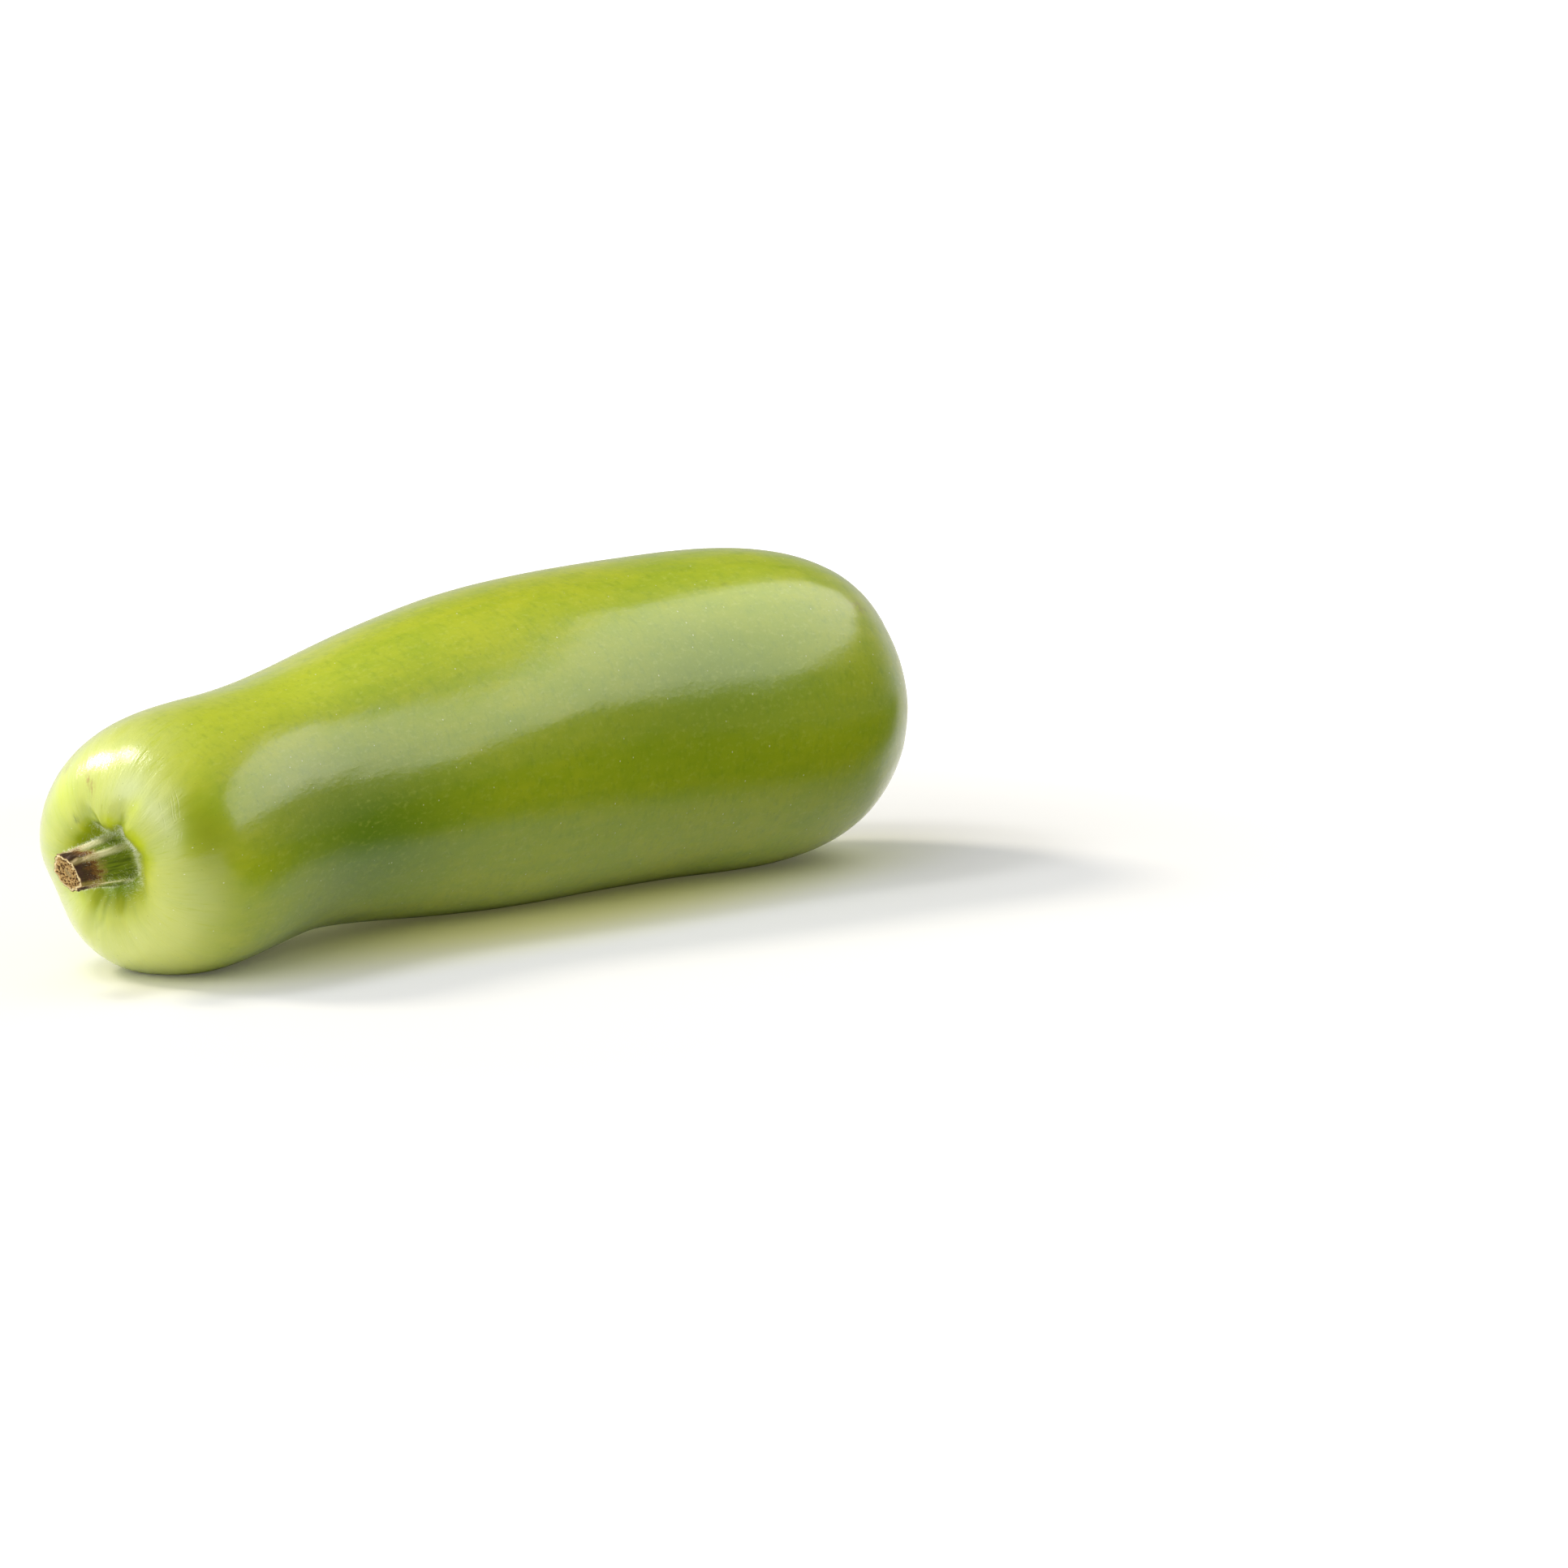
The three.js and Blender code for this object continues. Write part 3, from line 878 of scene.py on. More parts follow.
def stalk_side(s, angle):
    """Side of the stalk from its foot, sunk into the skin, to the rim of the slanted cut.

    The radius is the plain stalk's plus fibres, crumples of the dried end and a fill of its valleys.
    """
    lie = stalk_lie(angle, STALK_LENGTH * s)
    fibre = FIBRE_HEIGHT * np.cos(FIBRES * angle + FIBRE_WANDER * ripple(lie, *FIBRE_WAVES))
    crumple = WITHER_HEIGHT * wither(s) * ripple(lie * CRUMPLE_STRETCH, *CRUMPLE_WAVES)
    fill = WITHER_FILL * wither(s) * (1 - np.clip(ridge_share(angle), 0, 1))
    radius = stalk_radius(s, angle) + fibre + crumple + fill
    foot_radius = stalk_radius(np.zeros_like(s), angle)
    foot = skin_point(span_at_radius(foot_radius), angle, FOOT_SINK)
    base, tangent, _, _ = stalk_place()
    foot_height = (base - foot) @ tangent
    sideways = radius * np.cos(angle)
    upwards = radius * np.sin(angle)
    top = cut_height(sideways, upwards) + rim_relief(angle) * smooth(RIM_FROM_SIDE, 1, s)
    return stalk_point(sideways, upwards, foot_height + (top - foot_height) * s), radius


def vessel_pits(x, y):
    """Open vessels of the cut: small bell-shaped pits spread over the face."""
    chance = np.random.default_rng(VESSEL_SEED)
    pits = np.zeros(x.shape)
    for _ in range(VESSELS):
        radius = VESSEL_REACH * math.sqrt(VESSEL_SPREAD[0] + VESSEL_SPREAD[1] * chance.random())
        angle = chance.random() * 2 * math.pi
        size = VESSEL_RADIUS * (VESSEL_SIZES[0] + VESSEL_SIZES[1] * chance.random())
        away = np.hypot(x - radius * math.cos(angle), y - radius * math.sin(angle))
        pits = np.maximum(pits, bell(away, size))
    return pits


def cut_face(f, angle, rim_radius):
    """Slanted cut at share f of its radius: bundles, vessel pits, torn fibres and the groove of pith."""
    x = f * rim_radius * np.cos(angle)
    y = f * rim_radius * np.sin(angle)
    pits = vessel_pits(x, y)
    bundles = BUNDLE_HEIGHT * np.cos(BUNDLES * angle) * bell(f - BUNDLE_RING, BUNDLE_WIDTH)
    along = x * math.cos(PITH_ANGLE) + y * math.sin(PITH_ANGLE)
    across = y * math.cos(PITH_ANGLE) - x * math.sin(PITH_ANGLE)
    pith = bell(along, PITH_LONG) * bell(across, PITH_WIDE)
    torn = TORN * ripple(np.stack([x, y, np.zeros_like(x)], -1), *TORN_WAVES)
    edge = smooth(RIM_FROM_FACE, 1, f)
    relief = (bundles - VESSEL_DEPTH * pits + torn) * (1 - edge) - PITH_DEPTH * pith
    height = cut_height(x, y) + relief + rim_relief(angle) * edge
    return stalk_point(x, y, height), pits * (1 - edge), pith


def make_stem(material):
    """Stub of the stalk: rings from the middle of the cut, over its rim and down the side into the skin."""
    angle = np.linspace(0, 2 * math.pi, STALK_AROUND, endpoint=False)[None, :]
    s, side_angle = np.broadcast_arrays(np.linspace(1, 0, SIDE_ROWS)[:, None], angle)
    side, radius = stalk_side(s, side_angle)
    f = np.linspace(FACE_MIDDLE, 1, FACE_ROWS, endpoint=False)[:, None]
    f, face_angle = np.broadcast_arrays(f, angle)
    face, pits, pith = cut_face(f, face_angle, np.broadcast_to(radius[0], f.shape))
    rings = np.concatenate([face, side]) + SETTLE
    start = face[0].mean(0, keepdims=True) + SETTLE
    on_face, on_side = np.zeros_like(f), np.zeros_like(s)
    both = {
        "share": (on_face + 1, s),
        "ridge": (on_face, ridge_share(side_angle)),
        "pale": (on_face, pale_share(side_angle)),
        "cut": (1 - smooth(*CUT_RIM, f), on_side),
        "edge": (bell(f - CUT_EDGE[0], CUT_EDGE[1]), on_side),
        "pits": (pits, on_side),
        "pith": (pith, on_side),
    }
    values = {key: np.concatenate(parts).ravel() for key, parts in both.items()}
    lies = stalk_lie(face_angle, float(STALK_LENGTH), f), stalk_lie(side_angle, STALK_LENGTH * s)
    values["lie"] = np.concatenate(lies).reshape(-1, 3)
    values = {key: np.concatenate([field[:1], field, field[-1:]]) for key, field in values.items()}
    return ring_surface("stem_stub", start, rings, pole(0, FOOT_END_SINK), values, material)


# Pale bands along the stalk's ribs: angle, half width in degrees and strength
PALE_RIBS = ((98, 25, 0.82), (44, 13, 0.9), (-41, 9, 0.8), (-104, 14, 0.8), (180, 15, 0.9))


def pale_share(angle):
    """Share of the pale colour round the stalk, the greatest of its bands."""
    return np.max([most * lobe(angle, at, wide) for at, wide, most in PALE_RIBS], 0)


# Patterns of the stalk, as for the rind
STALK_PATTERNS = {
    "fibre": ((1, 1, 0.08), 0.5, 3, 0.5),
    "patch": ((1, 1, 0.5), 2.2, 4, 0.65),
    "fine": ((1, 1, 1), 0.5, 3, 0.6),
}

# Where the ribs show, and how the paling grows along the stalk: shares from and to, least and most
RIB_SHOWS = (0.3, 0.85)
RIB_PALING = (0.1, 0.5, 0.4, 1.0)
# Pale fringe at the foot: share of the length from and to, most, and how uneven it is
FRINGE = (0.28, 0.12, 0.75)
FRINGE_UNEVEN = 0.3
# Drying of the stalk: the patterns that make it uneven, what is taken off, and the part of a rib it climbs
DRYING_UNEVEN = (("patch", 0.6), ("fine", 0.3))
DRYING_OFF = 0.45
RIB_PART = (0.5, 0.95)
# Its colours: colour, share of the drying from and to, most, how far it climbs the ribs
DRYING = (
    ("#b79c58", 0.42, 0.64, 0.6, 1.0),
    ("dried", 0.58, 0.70, 1.0, 0.3),
    ("#2e1c16", 0.70, 0.84, 0.8, 0.2),
)

# Colours of the cut face: stored share, its limits and the colour
CUT_TINTS = (("pits", 0.2, 0.7, "#57360f"), ("pith", 0.25, 0.75, "#a8946a"), ("edge", 0.2, 0.9, "#e6d3a6"))
SPONGE = (0.36, 0.64)
STALK_ROUGHNESS = (0.55, 0.8)
STALK_SHARES = ("share", "ridge", "pale", "cut", "pits", "pith", "edge")


def cut_gourd_stalk(colours):
    """Stalk of the fruit: green ribbed plant stem, cut with a knife and dried from the cut inwards.

    It is matt and fibrous. The ribs are pale and downy, the panels between them deep green, the dried part
    is brown with dark purplish patches, and the cut face is a porous straw-coloured sponge of vessels.
    """
    material, tree = new_material("cut_gourd_stalk")
    _, patterns, stored = read_surface(tree, STALK_PATTERNS, STALK_SHARES)
    colour = lay_tint(tree, colours.panel, linear("#7d8f18"), patterns["fibre"], *NOISE_RANGE)
    paling = add_node(tree, "MapRange", SMOOTH_STEP, between(stored["share"], *RIB_PALING))
    colour = lay_tint(tree, colour, colours.rib, stored["pale"], *RIB_SHOWS, paling)
    uneven = {0: patterns["patch"], 1: FRINGE_UNEVEN, 2: stored["share"]}
    uneven = add_node(tree, "Math", PRODUCT_PLUS, uneven)
    colour = lay_tint(tree, colour, linear("#ccd97e"), uneven, *FRINGE)
    drying = add_node(tree, "Math", DIFFERENCE, {0: stored["share"], 1: DRYING_OFF})
    for name, weight in DRYING_UNEVEN:
        drying = add_node(tree, "Math", PRODUCT_PLUS, {0: patterns[name], 1: weight, 2: drying})
    for tint, start, full, most, on_rib in DRYING:
        valley = between(stored["ridge"], *RIB_PART, most, most * on_rib)
        valley = add_node(tree, "MapRange", SMOOTH_STEP, valley)
        tint = colours.dried if tint == "dried" else linear(tint)
        colour = lay_tint(tree, colour, tint, drying, start, full, valley)
    face = lay_tint(tree, linear("#96692e"), colours.cut, patterns["fine"], *SPONGE)
    for name, start, full, tint in CUT_TINTS:
        face = lay_tint(tree, face, linear(tint), stored[name], start, full)
    colour = add_node(tree, "Mix", COLOUR_MIX, {0: stored["cut"], 6: colour, 7: face})
    roughness = between(patterns["fine"], *NOISE_RANGE, *STALK_ROUGHNESS)
    roughness = add_node(tree, "MapRange", {}, roughness)
    height = add_node(tree, "Math", SUM, {0: patterns["fibre"], 1: patterns["fine"]})
    finish_surface(tree, {"IOR": 1.45, "Base Color": colour, "Roughness": roughness}, height)
    return material


# Colour of the down: size of its pattern in metres and the pattern's limits; its faint glow, painted light
# that keeps the hairs pale where they are in shade
DOWN_PATCH = 1.5 * MM
DOWN_RANGE = (0.35, 0.65)
DOWN_PAINTED_GLOW = 0.24


def plant_down(colours):
    """Down of the stalk: single-celled plant hairs, clear and silky, which look white where they are lit. A
    faint glow, painted light, keeps them pale in shade too.
    """
    material, tree = new_material("plant_down")
    place = add_node(tree, "TexCoord", {}, {}, "Object")
    tint = add_node(tree, "TexNoise", {}, {"Vector": place, "Scale": 1 / DOWN_PATCH, "Detail": 1})
    colour = lay_tint(tree, colours.down, linear("#f0f4cc"), tint, *DOWN_RANGE)
    sockets = {
        "Base Color": colour,
        "Roughness": 0.4,
        "IOR": 1.45,
        "Subsurface Weight": 1.0,
        "Subsurface Radius": (1.0, 1.0, 1.0),
        "Subsurface Scale": 0.3 * MM,
        # painted light: the hairs glow faintly in their own colour
        "Emission Color": colour,
        "Emission Strength": DOWN_PAINTED_GLOW,
    }
    finish_surface(tree, sockets)
    return material


# Hairs: rings, corners of the section, share of the width lost by the tip, a direction that no hair has
HAIR_RINGS = 4
HAIR_CORNERS = 3
HAIR_TAPER = 0.75
OFF_AXIS = (0.31, 0.52, 0.79)


def hair_mesh(name, roots, headings, drift, lengths, widths, material):
    """Tapered three-sided hairs: root + heading s + drift s^2, with a section that narrows to the tip."""
    count = len(roots)
    share = np.linspace(0, 1, HAIR_RINGS + 1)[:-1]
    way = lengths[:, None] * share
    line = roots[:, None] + headings[:, None] * way[..., None] + drift[:, None] * (share**2)[:, None]
    tip = roots + headings * lengths[:, None] + drift
    first = unit(np.cross(headings, OFF_AXIS))
    second = np.cross(headings, first)
    around = np.arange(HAIR_CORNERS)
    turn = around * 2 * math.pi / HAIR_CORNERS
    section = np.cos(turn)[:, None] * first[:, None] + np.sin(turn)[:, None] * second[:, None]
    girth = widths[:, None] / 2 * (1 - HAIR_TAPER * share)
    rings = line[:, :, None] + section[:, None] * girth[:, :, None, None]
    points = np.concatenate([rings.reshape(count, -1, 3), tip[:, None]], 1)
    per_hair = points.shape[1]
    onward = (around + 1) % HAIR_CORNERS
    ring = np.arange(HAIR_RINGS - 1)[:, None] * HAIR_CORNERS
    above = ring + HAIR_CORNERS
    sides = np.stack([ring + around, ring + onward, above + onward, above + around], -1).reshape(-1, 4)
    top = per_hair - 1 - HAIR_CORNERS
    tips = np.stack([top + around, top + onward, np.full(HAIR_CORNERS, per_hair - 1)], -1)
    offsets = (np.arange(count) * per_hair)[:, None, None]
    groups = [(group + offsets).reshape(-1, group.shape[1]) for group in (sides, tips, around[None, ::-1])]
    return make_object(name, points.reshape(-1, 3), groups, {}, material)


# Hairs of the foot: middle and spread of the angle in degrees, nearest, spread and end of the radius in mm
FOOT_ANGLE = (22, 62)
FOOT_BEYOND = (0.1, 1.6)
FOOT_END = 12.5
FOOT_RISE = 0.9
FOOT_ONWARD = (-0.1, 0.9)

# Hairs of the furrows: their angles and spread in degrees, nearest radius, span and its power
FURROW_ANGLES = (70, 110, 72)
FURROW_SPREAD = 5
FURROW_RADIUS = (8.5, 5.5, 1.4)
FURROW_RISE = 0.7
FURROW_ONWARD = 0.5
FURROW_ASIDE = 0.35

# Hairs of the stalk: spread on a ridge in degrees, start, span and power of the share of its length
RIDGE_SPREAD = 13
RIDGE_SPAN = (0.05, 0.8, 1.5)
RIDGE_FORWARD = (0.0, 0.9)

# Roots of the hairs lie this far under the skin, in mm
ROOT_SINK = -0.05


def foot_hairs(chance, count):
    """Roots and headings of the hairs on the dimple round the stalk's foot."""
    angle = (FOOT_ANGLE[0] + FOOT_ANGLE[1] * chance.normal(size=count)) * DEG
    beyond = np.abs(chance.normal(size=count)) * FOOT_BEYOND[1]
    radius = stalk_radius(np.zeros(count), angle) + FOOT_BEYOND[0] + beyond
    t = span_at_radius(np.minimum(radius, FOOT_END))
    normal, onward, _ = skin_directions(t, angle)
    heading = normal * FOOT_RISE + onward * chance.uniform(*FOOT_ONWARD, count)[:, None]
    return skin_point(t, angle, ROOT_SINK), heading


def furrow_hairs(chance, count):
    """Roots and headings of the hairs along the bottoms of the furrows above the stalk."""
    middle = np.array(FURROW_ANGLES)[chance.integers(0, len(FURROW_ANGLES), count)]
    angle = (middle + FURROW_SPREAD * chance.normal(size=count)) * DEG
    nearest, further, power = FURROW_RADIUS
    t = span_at_radius(nearest + further * chance.random(count) ** power)
    normal, onward, around = skin_directions(t, angle)
    aside = around * chance.normal(size=count)[:, None] * FURROW_ASIDE
    return skin_point(t, angle, ROOT_SINK), normal * FURROW_RISE + onward * FURROW_ONWARD + aside


def stalk_hairs(chance, count):
    """Roots and headings of the hairs on the stalk, thickest on its ridges and towards the foot."""
    middle = np.array(STALK_RIDGES)[chance.integers(0, len(STALK_RIDGES), count)]
    angle = (middle + RIDGE_SPREAD * chance.normal(size=count)) * DEG
    start, span, power = RIDGE_SPAN
    roots, _ = stalk_side(start + span * chance.random(count) ** power, angle)
    _, tangent, side, up = stalk_place()
    outward = np.cos(angle)[:, None] * side + np.sin(angle)[:, None] * up
    return roots, outward - tangent * chance.uniform(*RIDGE_FORWARD, count)[:, None]


# Kinds of hair: function, parts of the whole number, longest as a share of the setting, random spread of
# the headings
HAIR_KINDS = ((foot_hairs, 32, 0.82, 0.28), (furrow_hairs, 7, 0.7, 0.25), (stalk_hairs, 40, 0.6, 0.25))
HAIR_PARTS = sum(kind[1] for kind in HAIR_KINDS)
HAIR_LENGTHS = (0.45, 1.0)
HAIR_WIDTHS = (0.7, 1.2)
HAIR_DRIFT = 0.22
HAIR_SEED = 5


def make_down(shape, material):
    """Down: hairs 0.5 to 1.5 mm long, drawn thicker than life so that they show, that throw no shadow."""
    chance = np.random.default_rng(HAIR_SEED)
    parts = []
    for maker, part, longest, spread in HAIR_KINDS:
        count = shape.hairs * part // HAIR_PARTS
        roots, headings = maker(chance, count)
        headings = unit(headings)
        headings = unit(headings + chance.normal(size=headings.shape) * spread)
        lengths = shape.hair_length / MM * longest * chance.uniform(*HAIR_LENGTHS, count)
        parts.append((roots, headings, lengths))
    roots, headings, lengths = (np.concatenate(part) for part in zip(*parts))
    roots = roots + SETTLE
    drift = chance.normal(size=roots.shape) * HAIR_DRIFT * lengths[:, None]
    widths = shape.hair_width / MM * chance.uniform(*HAIR_WIDTHS, len(roots))
    down = hair_mesh("stalk_down", roots, headings, drift, lengths, widths, material)
    down.visible_shadow = False
    return down


# Studio, in the part's frame: the camera's level forward and right directions
FORWARD = (0.7168, 0.6973, 0.0)
RIGHT = (0.6973, -0.7168, 0.0)
UP = (0.0, 0.0, 1.0)
CAMERA_PLACE = (-916.6, -1001.4, 264.7)
CAMERA_FORWARD = (0.707, 0.6878, -0.1646)
CAMERA_LENS = 105.37
SENSOR = 36.0
FAR = 200.0
CROWN_PLACE = (-0.15, 0.0, 0.05)
FLOOR_REACH = 60000.0

# Softbox by direction: azimuth, elevation, half width and half height in degrees
FRONT_SOFTBOX = (-146, 42, 27, 26)
SOFTBOX_EDGE = 0.03
SOFTBOX_SIDE = (0.0, 0.1)
WHITE = (1.0, 1.0, 1.0, 1.0)

# Key light and lamp: azimuth and elevation in degrees; width in degrees, distance and size in metres
KEY_FROM = (-70, 42)
KEY_WIDTH = 14
LAMP_FROM = (-79, 69)
LAMP_AWAY = 0.6
LAMP_SIZE = 0.15

# Glows of the room: the setting that gives the level, and its limits, each as a direction and what a ray
# has along it where the glow starts and where it is full
GLOWS = (
    ("wall", ((FORWARD, 0.3, 0.95), (UP, 0.6, 0.1))),
    ("wall_right", ((FORWARD, 0.3, 0.95), (UP, 0.6, 0.1), (RIGHT, 0.0, 0.5))),
    ("left", ((RIGHT, 0.0, -0.9),)),
    ("top", ((UP, 0.6, 0.98),)),
    ("low_right", ((RIGHT, 0.2, 0.9), (UP, 0.4, 0.0))),
)
LOW_FRONT = ((FORWARD, -0.1, -0.9), (UP, 0.5, 0.0))

# Panel of light over the far end: one corner and its two edges, in mm
PANEL_CORNER = (271.0, 47.0, 435.0)
PANEL_SHORT = (-200.0, -570.0, 51.0)
PANEL_LONG = (52.0, -41.0, -258.0)


def heading_of(azimuth, elevation):
    """Direction from the table, azimuth in degrees to the right of the camera's forward."""
    level = math.cos(elevation * DEG)
    ahead = Vector(FORWARD) * math.cos(azimuth * DEG) * level
    return ahead + Vector(RIGHT) * math.sin(azimuth * DEG) * level + Vector(UP) * math.sin(elevation * DEG)


def add_light(name, kind, settings, turn, place):
    """Light that the camera doesn't see, with its settings, its turn and its place in metres."""
    lamp = bpy.data.lights.new(name, kind)
    for key, value in settings.items():
        setattr(lamp, key, value)
    light = bpy.data.objects.new(name, lamp)
    light.matrix_world = Matrix.Translation(place) @ turn.to_4x4()
    light.visible_camera = False
    bpy.context.scene.collection.objects.link(light)


def make_key(strength, colour):
    """Key light: a distant soft light that shines from its direction."""
    settings = {"energy": strength, "angle": KEY_WIDTH * DEG, "color": colour[:3]}
    turn = heading_of(*KEY_FROM).to_track_quat("Z", "Y").to_matrix()
    add_light("key_light", "SUN", settings, turn, (0, 0, 0))


def make_lamp(watts):
    """Small softbox near the crown, turned towards it."""
    heading = heading_of(*LAMP_FROM)
    turn = heading.to_track_quat("Z", "Y").to_matrix()
    place = Vector(CROWN_PLACE) + heading * LAMP_AWAY
    add_light("second_light", "AREA", {"energy": watts, "size": LAMP_SIZE}, turn, place)


def make_panel(radiance):
    """Even rectangle of light from its corner and edges: its watts are pi times its area and radiance."""
    corner = Vector(np.array(PANEL_CORNER) + SETTLE) * MM
    short, long = (Vector(part) * MM for part in (PANEL_SHORT, PANEL_LONG))
    away = short.cross(long).normalized()
    settings = {
        "shape": "RECTANGLE",
        "size": long.length,
        "size_y": short.length,
        "energy": radiance * math.pi * long.length * short.length,
    }
    turn = Matrix((long.normalized(), away.cross(long.normalized()), away)).transposed()
    add_light("panel", "AREA", settings, turn, corner + (short + long) / 2)


def softbox_limits(azimuth, elevation, half_wide, half_high):
    """Soft edges of a lit rectangle of the sky, each as a direction and two limits of the ray along it."""
    middle = heading_of(azimuth, elevation)
    across = Vector(UP).cross(middle).normalized()
    limits = [(middle, *SOFTBOX_SIDE)]
    for axis, half in ((across, half_wide), (middle.cross(across), half_high)):
        edge = math.sin(half * DEG)
        limits.append((axis, -edge - SOFTBOX_EDGE, -edge + SOFTBOX_EDGE))
        limits.append((axis, edge + SOFTBOX_EDGE, edge - SOFTBOX_EDGE))
    return limits


def glow_level(tree, ray, level, limits):
    """Level of one glow of the room, times a smooth step of the ray along each of its directions."""
    for direction, dark, bright in limits:
        along = add_node(tree, "VectorMath", DOT, {0: ray, 1: tuple(direction)}, "Value")
        level = add_node(tree, "MapRange", SMOOTH_STEP, between(along, dark, bright, 0.0, level))
    return level


def light_room(stage):
    """Room light by direction: a sum of white glows and one tinted glow low behind the camera."""
    world = bpy.data.worlds.new("studio_room")
    world.use_nodes = True
    tree = world.node_tree
    tree.nodes.clear()
    ray = add_node(tree, "TexCoord", {}, {}, "Generated")
    total = stage.fill
    for key, limits in (*GLOWS, ("front", softbox_limits(*FRONT_SOFTBOX))):
        level = glow_level(tree, ray, getattr(stage, key), limits)
        total = add_node(tree, "Math", SUM, {0: level, 1: total})
    low = glow_level(tree, ray, stage.low_front, LOW_FRONT)
    room = add_node(tree, "Background", {}, {"Strength": total, "Color": WHITE})
    tinted = add_node(tree, "Background", {}, {"Strength": low, "Color": stage.low_tint})
    room = add_node(tree, "AddShader", {}, {0: room, 1: tinted})
    seen = add_node(tree, "Background", {}, {"Strength": stage.backdrop, "Color": WHITE})
    is_seen = add_node(tree, "LightPath", {}, {}, "Is Camera Ray")
    both = add_node(tree, "MixShader", {}, {0: is_seen, 1: room, 2: seen})
    add_node(tree, "OutputWorld", {}, {"Surface": both})
    bpy.context.scene.world = world


# Dark part of the floor in front of the fruit, which takes away bounced light and which the camera doesn't
# see: its setting, its limits from the edge inwards along each axis, in metres
CARD_LIMITS = (("Y", -0.03, -0.11), ("X", -0.16, -0.06))

# Distances from the fruit's middle over which the floor's glow rises and its tint, a painted olive shadow,
# fades, in metres
GLOW_FROM = 0.2
GLOW_FULL = 0.55
NEAR_FULL = 0.02
NEAR_TO = 0.1
NEAR_MIDDLE = (0.01, -0.015, 0.0)
NEAR_SHAPE = (0.5, 1.6, 1.0)


def make_floor(stage):
    """Plain pale floor under the fruit, with the dark part that only takes away bounced light.

    In the camera it also glows a little, more with the distance, so that it ends as white as the backdrop.
    Near the fruit its seen colour holds a painted olive shadow, tinted like light bounced off the skin.
    """
    material, tree = new_material("white_paper_floor")
    place = add_node(tree, "TexCoord", {}, {}, "Object")
    parts = add_node(tree, "SeparateXYZ", {}, {0: place}).node.outputs
    card = 1.0
    for axis, outer, inner in CARD_LIMITS:
        card = add_node(tree, "MapRange", SMOOTH_STEP, between(parts[axis], outer, inner, 0.0, card))
    thrown = add_node(tree, "Mix", COLOUR_MIX, {0: card, 6: stage.bounce, 7: stage.card})
    is_seen = add_node(tree, "LightPath", {}, {}, "Is Camera Ray")
    oval = add_node(tree, "VectorMath", DIFFERENCE, {0: place, 1: NEAR_MIDDLE})
    oval = add_node(tree, "VectorMath", PRODUCT, {0: oval, 1: NEAR_SHAPE})
    away = add_node(tree, "VectorMath", LENGTH_OF, {0: oval}, "Value")
    # painted shadow: close to the fruit the floor's seen colour turns olive
    shown = lay_tint(tree, stage.floor, stage.near, away, NEAR_TO, NEAR_FULL)
    colour = add_node(tree, "Mix", COLOUR_MIX, {0: is_seen, 6: thrown, 7: shown})
    away = add_node(tree, "VectorMath", LENGTH_OF, {0: place}, "Value")
    glow = add_node(tree, "MapRange", SMOOTH_STEP, between(away, GLOW_FROM, GLOW_FULL, stage.glow))
    glow = add_node(tree, "Math", PRODUCT, {0: glow, 1: is_seen})
    sockets = {"Base Color": colour, "Roughness": 0.9, "Specular IOR Level": 0.1}
    finish_surface(tree, {**sockets, "Emission Color": shown, "Emission Strength": glow})
    corners = FLOOR_REACH * np.array([(-1, -1, 0), (1, -1, 0), (1, 1, 0), (-1, 1, 0)])
    return make_object("floor", corners, [np.array([[0, 1, 2, 3]])], {}, material)


def make_camera():
    """Camera at the photograph's viewing angle."""
    data = bpy.data.cameras.new("camera")
    data.lens = CAMERA_LENS
    data.sensor_width = SENSOR
    data.clip_end = FAR
    camera = bpy.data.objects.new("camera", data)
    right = Vector(RIGHT).normalized()
    back = -Vector(CAMERA_FORWARD).normalized()
    turn = Matrix((right, back.cross(right), back)).transposed().to_4x4()
    place = (np.array(CAMERA_PLACE) + SETTLE) * MM
    camera.matrix_world = Matrix.Translation(Vector(place)) @ turn
    bpy.context.scene.collection.objects.link(camera)
    bpy.context.scene.camera = camera


def colour_setting(label, use, hex_code):
    """Colour setting with its name, description and default."""
    kind = {"subtype": "COLOR", "size": 4, "min": 0.0, "max": 1.0}
    return bpy.props.FloatVectorProperty(name=label, description=use, default=linear(hex_code), **kind)


def level_setting(label, use, amount):
    """Light level setting with its name, description and default."""
    return bpy.props.FloatProperty(name=label, description=use, default=amount, min=0.0, soft_max=5.0)


def length_setting(label, use, metres):
    """Length setting with its name, description and default."""
    kind = {"subtype": "DISTANCE", "unit": "LENGTH", "precision": 5, "min": 0.0}
    return bpy.props.FloatProperty(name=label, description=use, default=metres, **kind)


class GourdShape(bpy.types.PropertyGroup):
    """Sizes of the fine forms."""

    relief: bpy.props.FloatProperty(
        name="Fine relief",
        description="Strength of the swells, dents and pleats",
        default=1.0,
        min=0.0,
        max=2.0,
    )
    hairs: bpy.props.IntProperty(
        name="Hairs",
        description="Number of hairs on the stalk, round its foot and in the furrows",
        default=3318,
        min=HAIR_PARTS,
    )
    hair_length: length_setting("Hair length", "Length that each kind of hair has a share of", 0.0018)
    hair_width: length_setting("Hair width", "Width of a hair at its root", 0.00004)


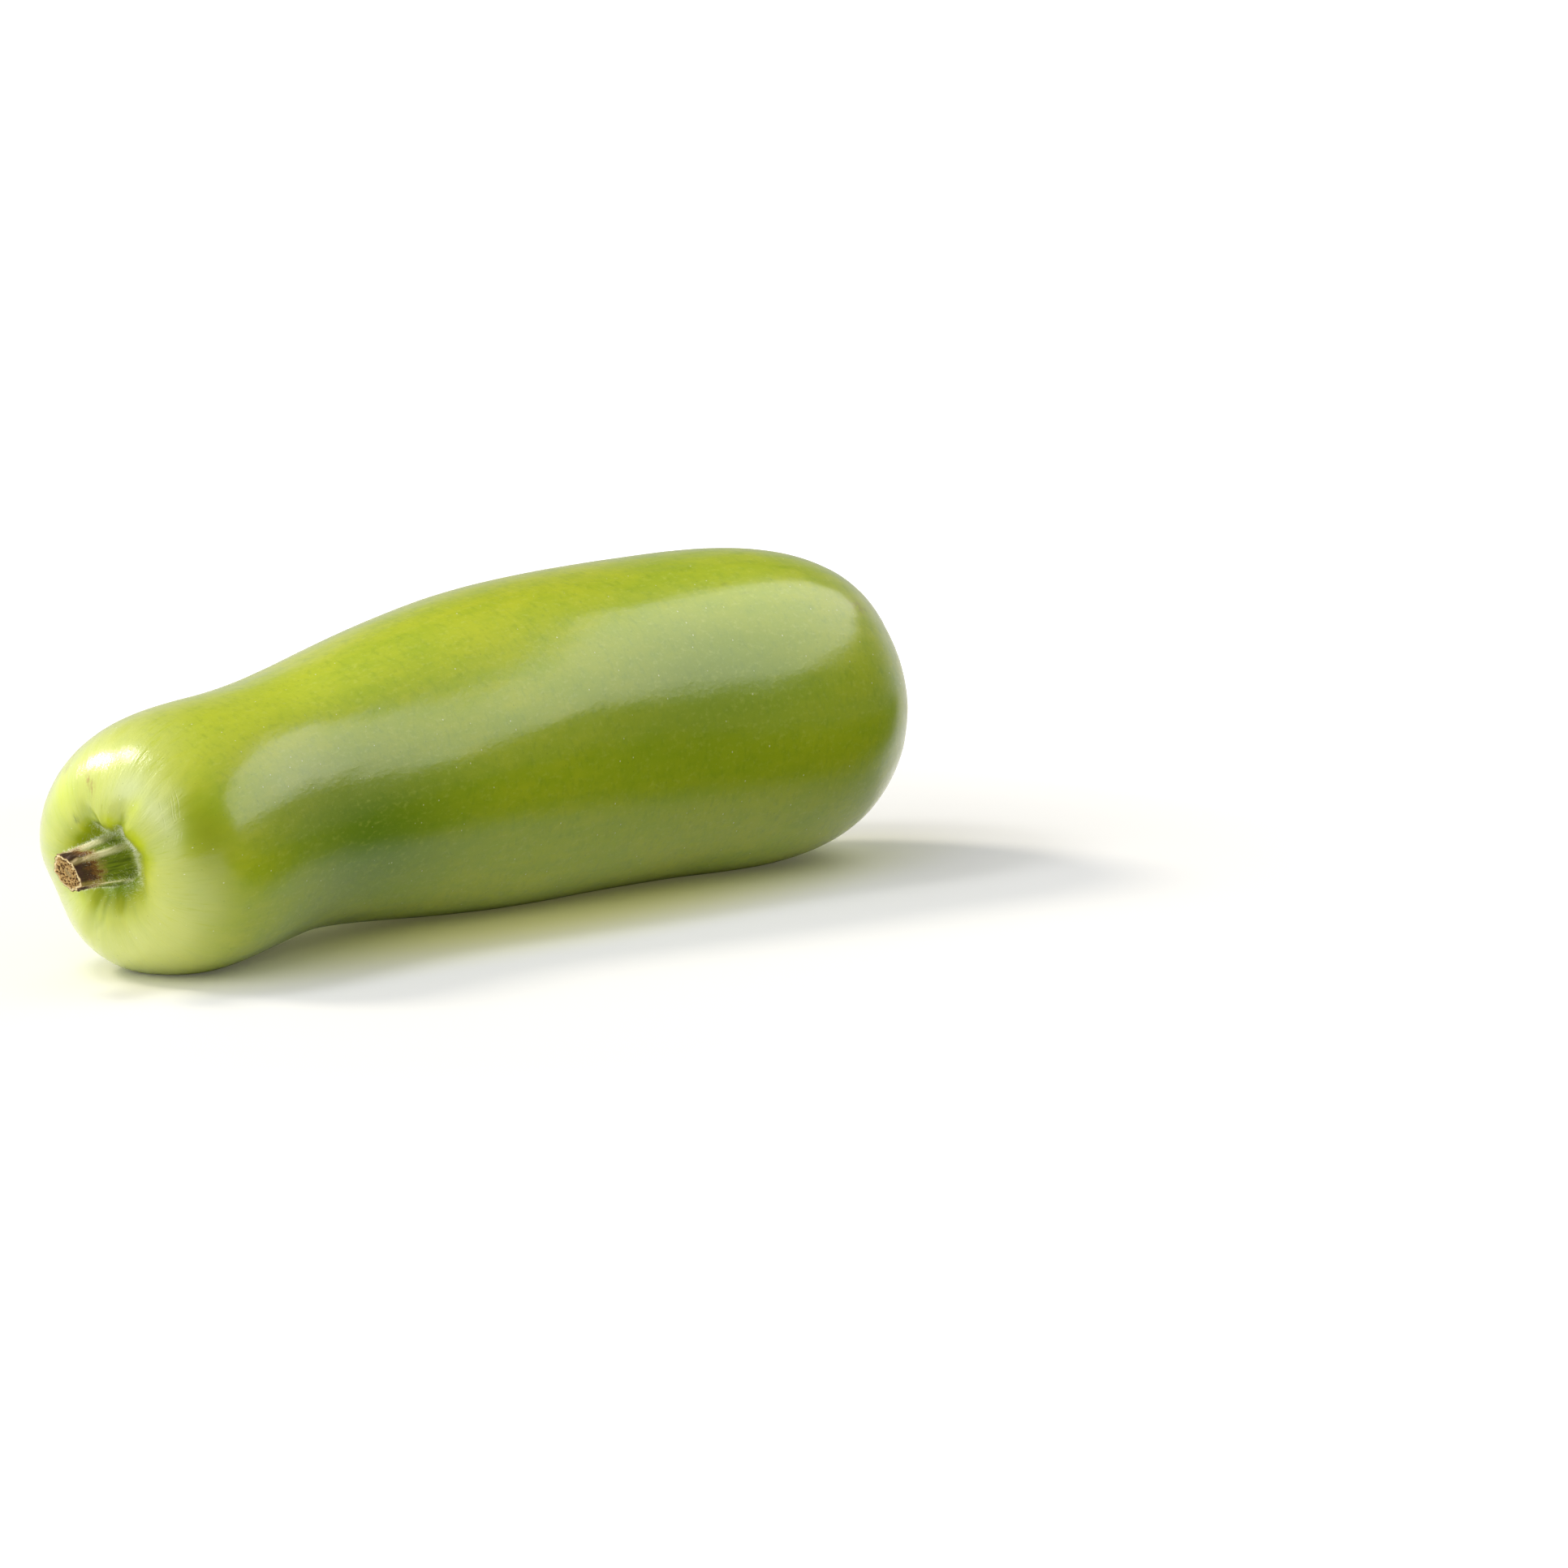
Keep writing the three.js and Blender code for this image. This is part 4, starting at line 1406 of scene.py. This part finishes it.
class GourdColours(bpy.types.PropertyGroup):
    """Colours of the skin and stalk."""

    yellow: colour_setting("Yellow", "Yellower parts of the rind", "#bcc51a")
    green: colour_setting("Green", "Greener parts of the rind", "#9eb410")
    panel: colour_setting("Panel", "Green between the stalk's ribs", "#56660a")
    rib: colour_setting("Rib", "Pale ribs of the stalk", "#e2dcb2")
    dried: colour_setting("Dried", "Dried end of the stalk", "#754a1c")
    cut: colour_setting("Cut face", "Straw of the cut face", "#d6b678")
    down: colour_setting("Down", "Hairs of the stalk", "#fdfdf0")


class GourdStage(bpy.types.PropertyGroup):
    """Floor and lights."""

    floor: colour_setting("Floor", "Colour of the floor", "#e4e4e4")
    # near is a painted shadow, tinted like light bounced off the skin
    near: colour_setting("Near", "Colour of the floor by the fruit, tinted by light off its skin", "#dbd89a")
    bounce: colour_setting("Bounce", "Colour of the light that the floor throws back", "#f0f0ec")
    card: colour_setting("Card", "Colour of the hidden card", "#5a6a1c")
    sun: colour_setting("Sun", "Colour of the key light", "#fff6e4")
    low_tint: colour_setting("Low tint", "Colour of the light from low behind the camera", "#ffff70")
    key: level_setting("Key light", "Strength of the key light", 1.5)
    second: level_setting("Second light", "Watts of the lamp near the crown", 1.1)
    panel: level_setting("Panel", "Brightness of the panel over the far end", 1.65)
    front: level_setting("Front softbox", "Brightness of the softbox behind the camera", 1.25)
    wall: level_setting("Wall", "Brightness of the wall behind the fruit", 0.35)
    wall_right: level_setting("Right wall", "Brightness of the wall's right end", 0.3)
    left: level_setting("Left", "Brightness of the left side", 1.0)
    top: level_setting("Top", "Brightness overhead", 0.25)
    low_front: level_setting("Low front", "Brightness low behind the camera", 0.5)
    low_right: level_setting("Low right", "Brightness low at the right", 0.1)
    fill: level_setting("Fill", "Brightness from everywhere", 0.06)
    glow: level_setting("Glow", "Brightness that the floor near the fruit adds in the camera", 0.1)
    backdrop: level_setting("Backdrop", "Brightness of the backdrop in the camera", 1.1)


class GOURD_OT_skin(bpy.types.Operator):
    """Make the skin of the fruit."""

    bl_idname = "gourd.skin"
    bl_label = "Skin"

    def execute(self, context):
        scene = context.scene
        piece = make_skin(scene.gourd_shape, waxy_gourd_rind(scene.gourd_colours))
        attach(piece, "root")
        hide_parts("fruit")
        return {"FINISHED"}


class GOURD_OT_stem(bpy.types.Operator):
    """Make the stub of the stalk."""

    bl_idname = "gourd.stem"
    bl_label = "Stalk"

    def execute(self, context):
        piece = make_stem(cut_gourd_stalk(context.scene.gourd_colours))
        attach(piece, "root")
        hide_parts("stem")
        return {"FINISHED"}


class GOURD_OT_down(bpy.types.Operator):
    """Make the hairs of the stalk and its foot."""

    bl_idname = "gourd.down"
    bl_label = "Down"

    def execute(self, context):
        scene = context.scene
        piece = make_down(scene.gourd_shape, plant_down(scene.gourd_colours))
        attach(piece, "root")
        return {"FINISHED"}


class GOURD_OT_stage(bpy.types.Operator):
    """Make the floor, lights and camera."""

    bl_idname = "gourd.stage"
    bl_label = "Stage"

    def execute(self, context):
        stage = context.scene.gourd_stage
        make_floor(stage)
        light_room(stage)
        make_key(stage.key, stage.sun)
        make_lamp(stage.second)
        make_panel(stage.panel)
        make_camera()
        context.scene.view_settings.view_transform = "Standard"
        return {"FINISHED"}


class GOURD_PT_panel(bpy.types.Panel):
    """Panel that lists the gourd's pieces and settings."""

    bl_idname = "GOURD_PT_panel"
    bl_label = "Bottle gourd"
    bl_space_type = "VIEW_3D"
    bl_region_type = "UI"
    bl_category = "Gourd"

    def draw(self, context):
        scene = context.scene
        for group in (scene.gourd_shape, scene.gourd_colours, scene.gourd_stage):
            for key in group.__annotations__:
                self.layout.prop(group, key)
        for operator in OPERATORS:
            self.layout.operator(operator.bl_idname)


OPERATORS = (GOURD_OT_skin, GOURD_OT_stem, GOURD_OT_down, GOURD_OT_stage)
CLASSES = (GourdShape, GourdColours, GourdStage) + OPERATORS + (GOURD_PT_panel,)


def register():
    """Registers the classes and hangs their settings on the scene."""
    for item in CLASSES:
        bpy.utils.register_class(item)
    bpy.types.Scene.gourd_shape = bpy.props.PointerProperty(type=GourdShape)
    bpy.types.Scene.gourd_colours = bpy.props.PointerProperty(type=GourdColours)
    bpy.types.Scene.gourd_stage = bpy.props.PointerProperty(type=GourdStage)


def unregister():
    """Takes the settings and classes away again."""
    del bpy.types.Scene.gourd_stage
    del bpy.types.Scene.gourd_colours
    del bpy.types.Scene.gourd_shape
    for item in reversed(CLASSES):
        bpy.utils.unregister_class(item)


def main():
    """Makes every piece in order."""
    register()
    bpy.ops.gourd.stage()
    bpy.ops.gourd.skin()
    bpy.ops.gourd.stem()
    bpy.ops.gourd.down()


if __name__ == "__main__":
    main()
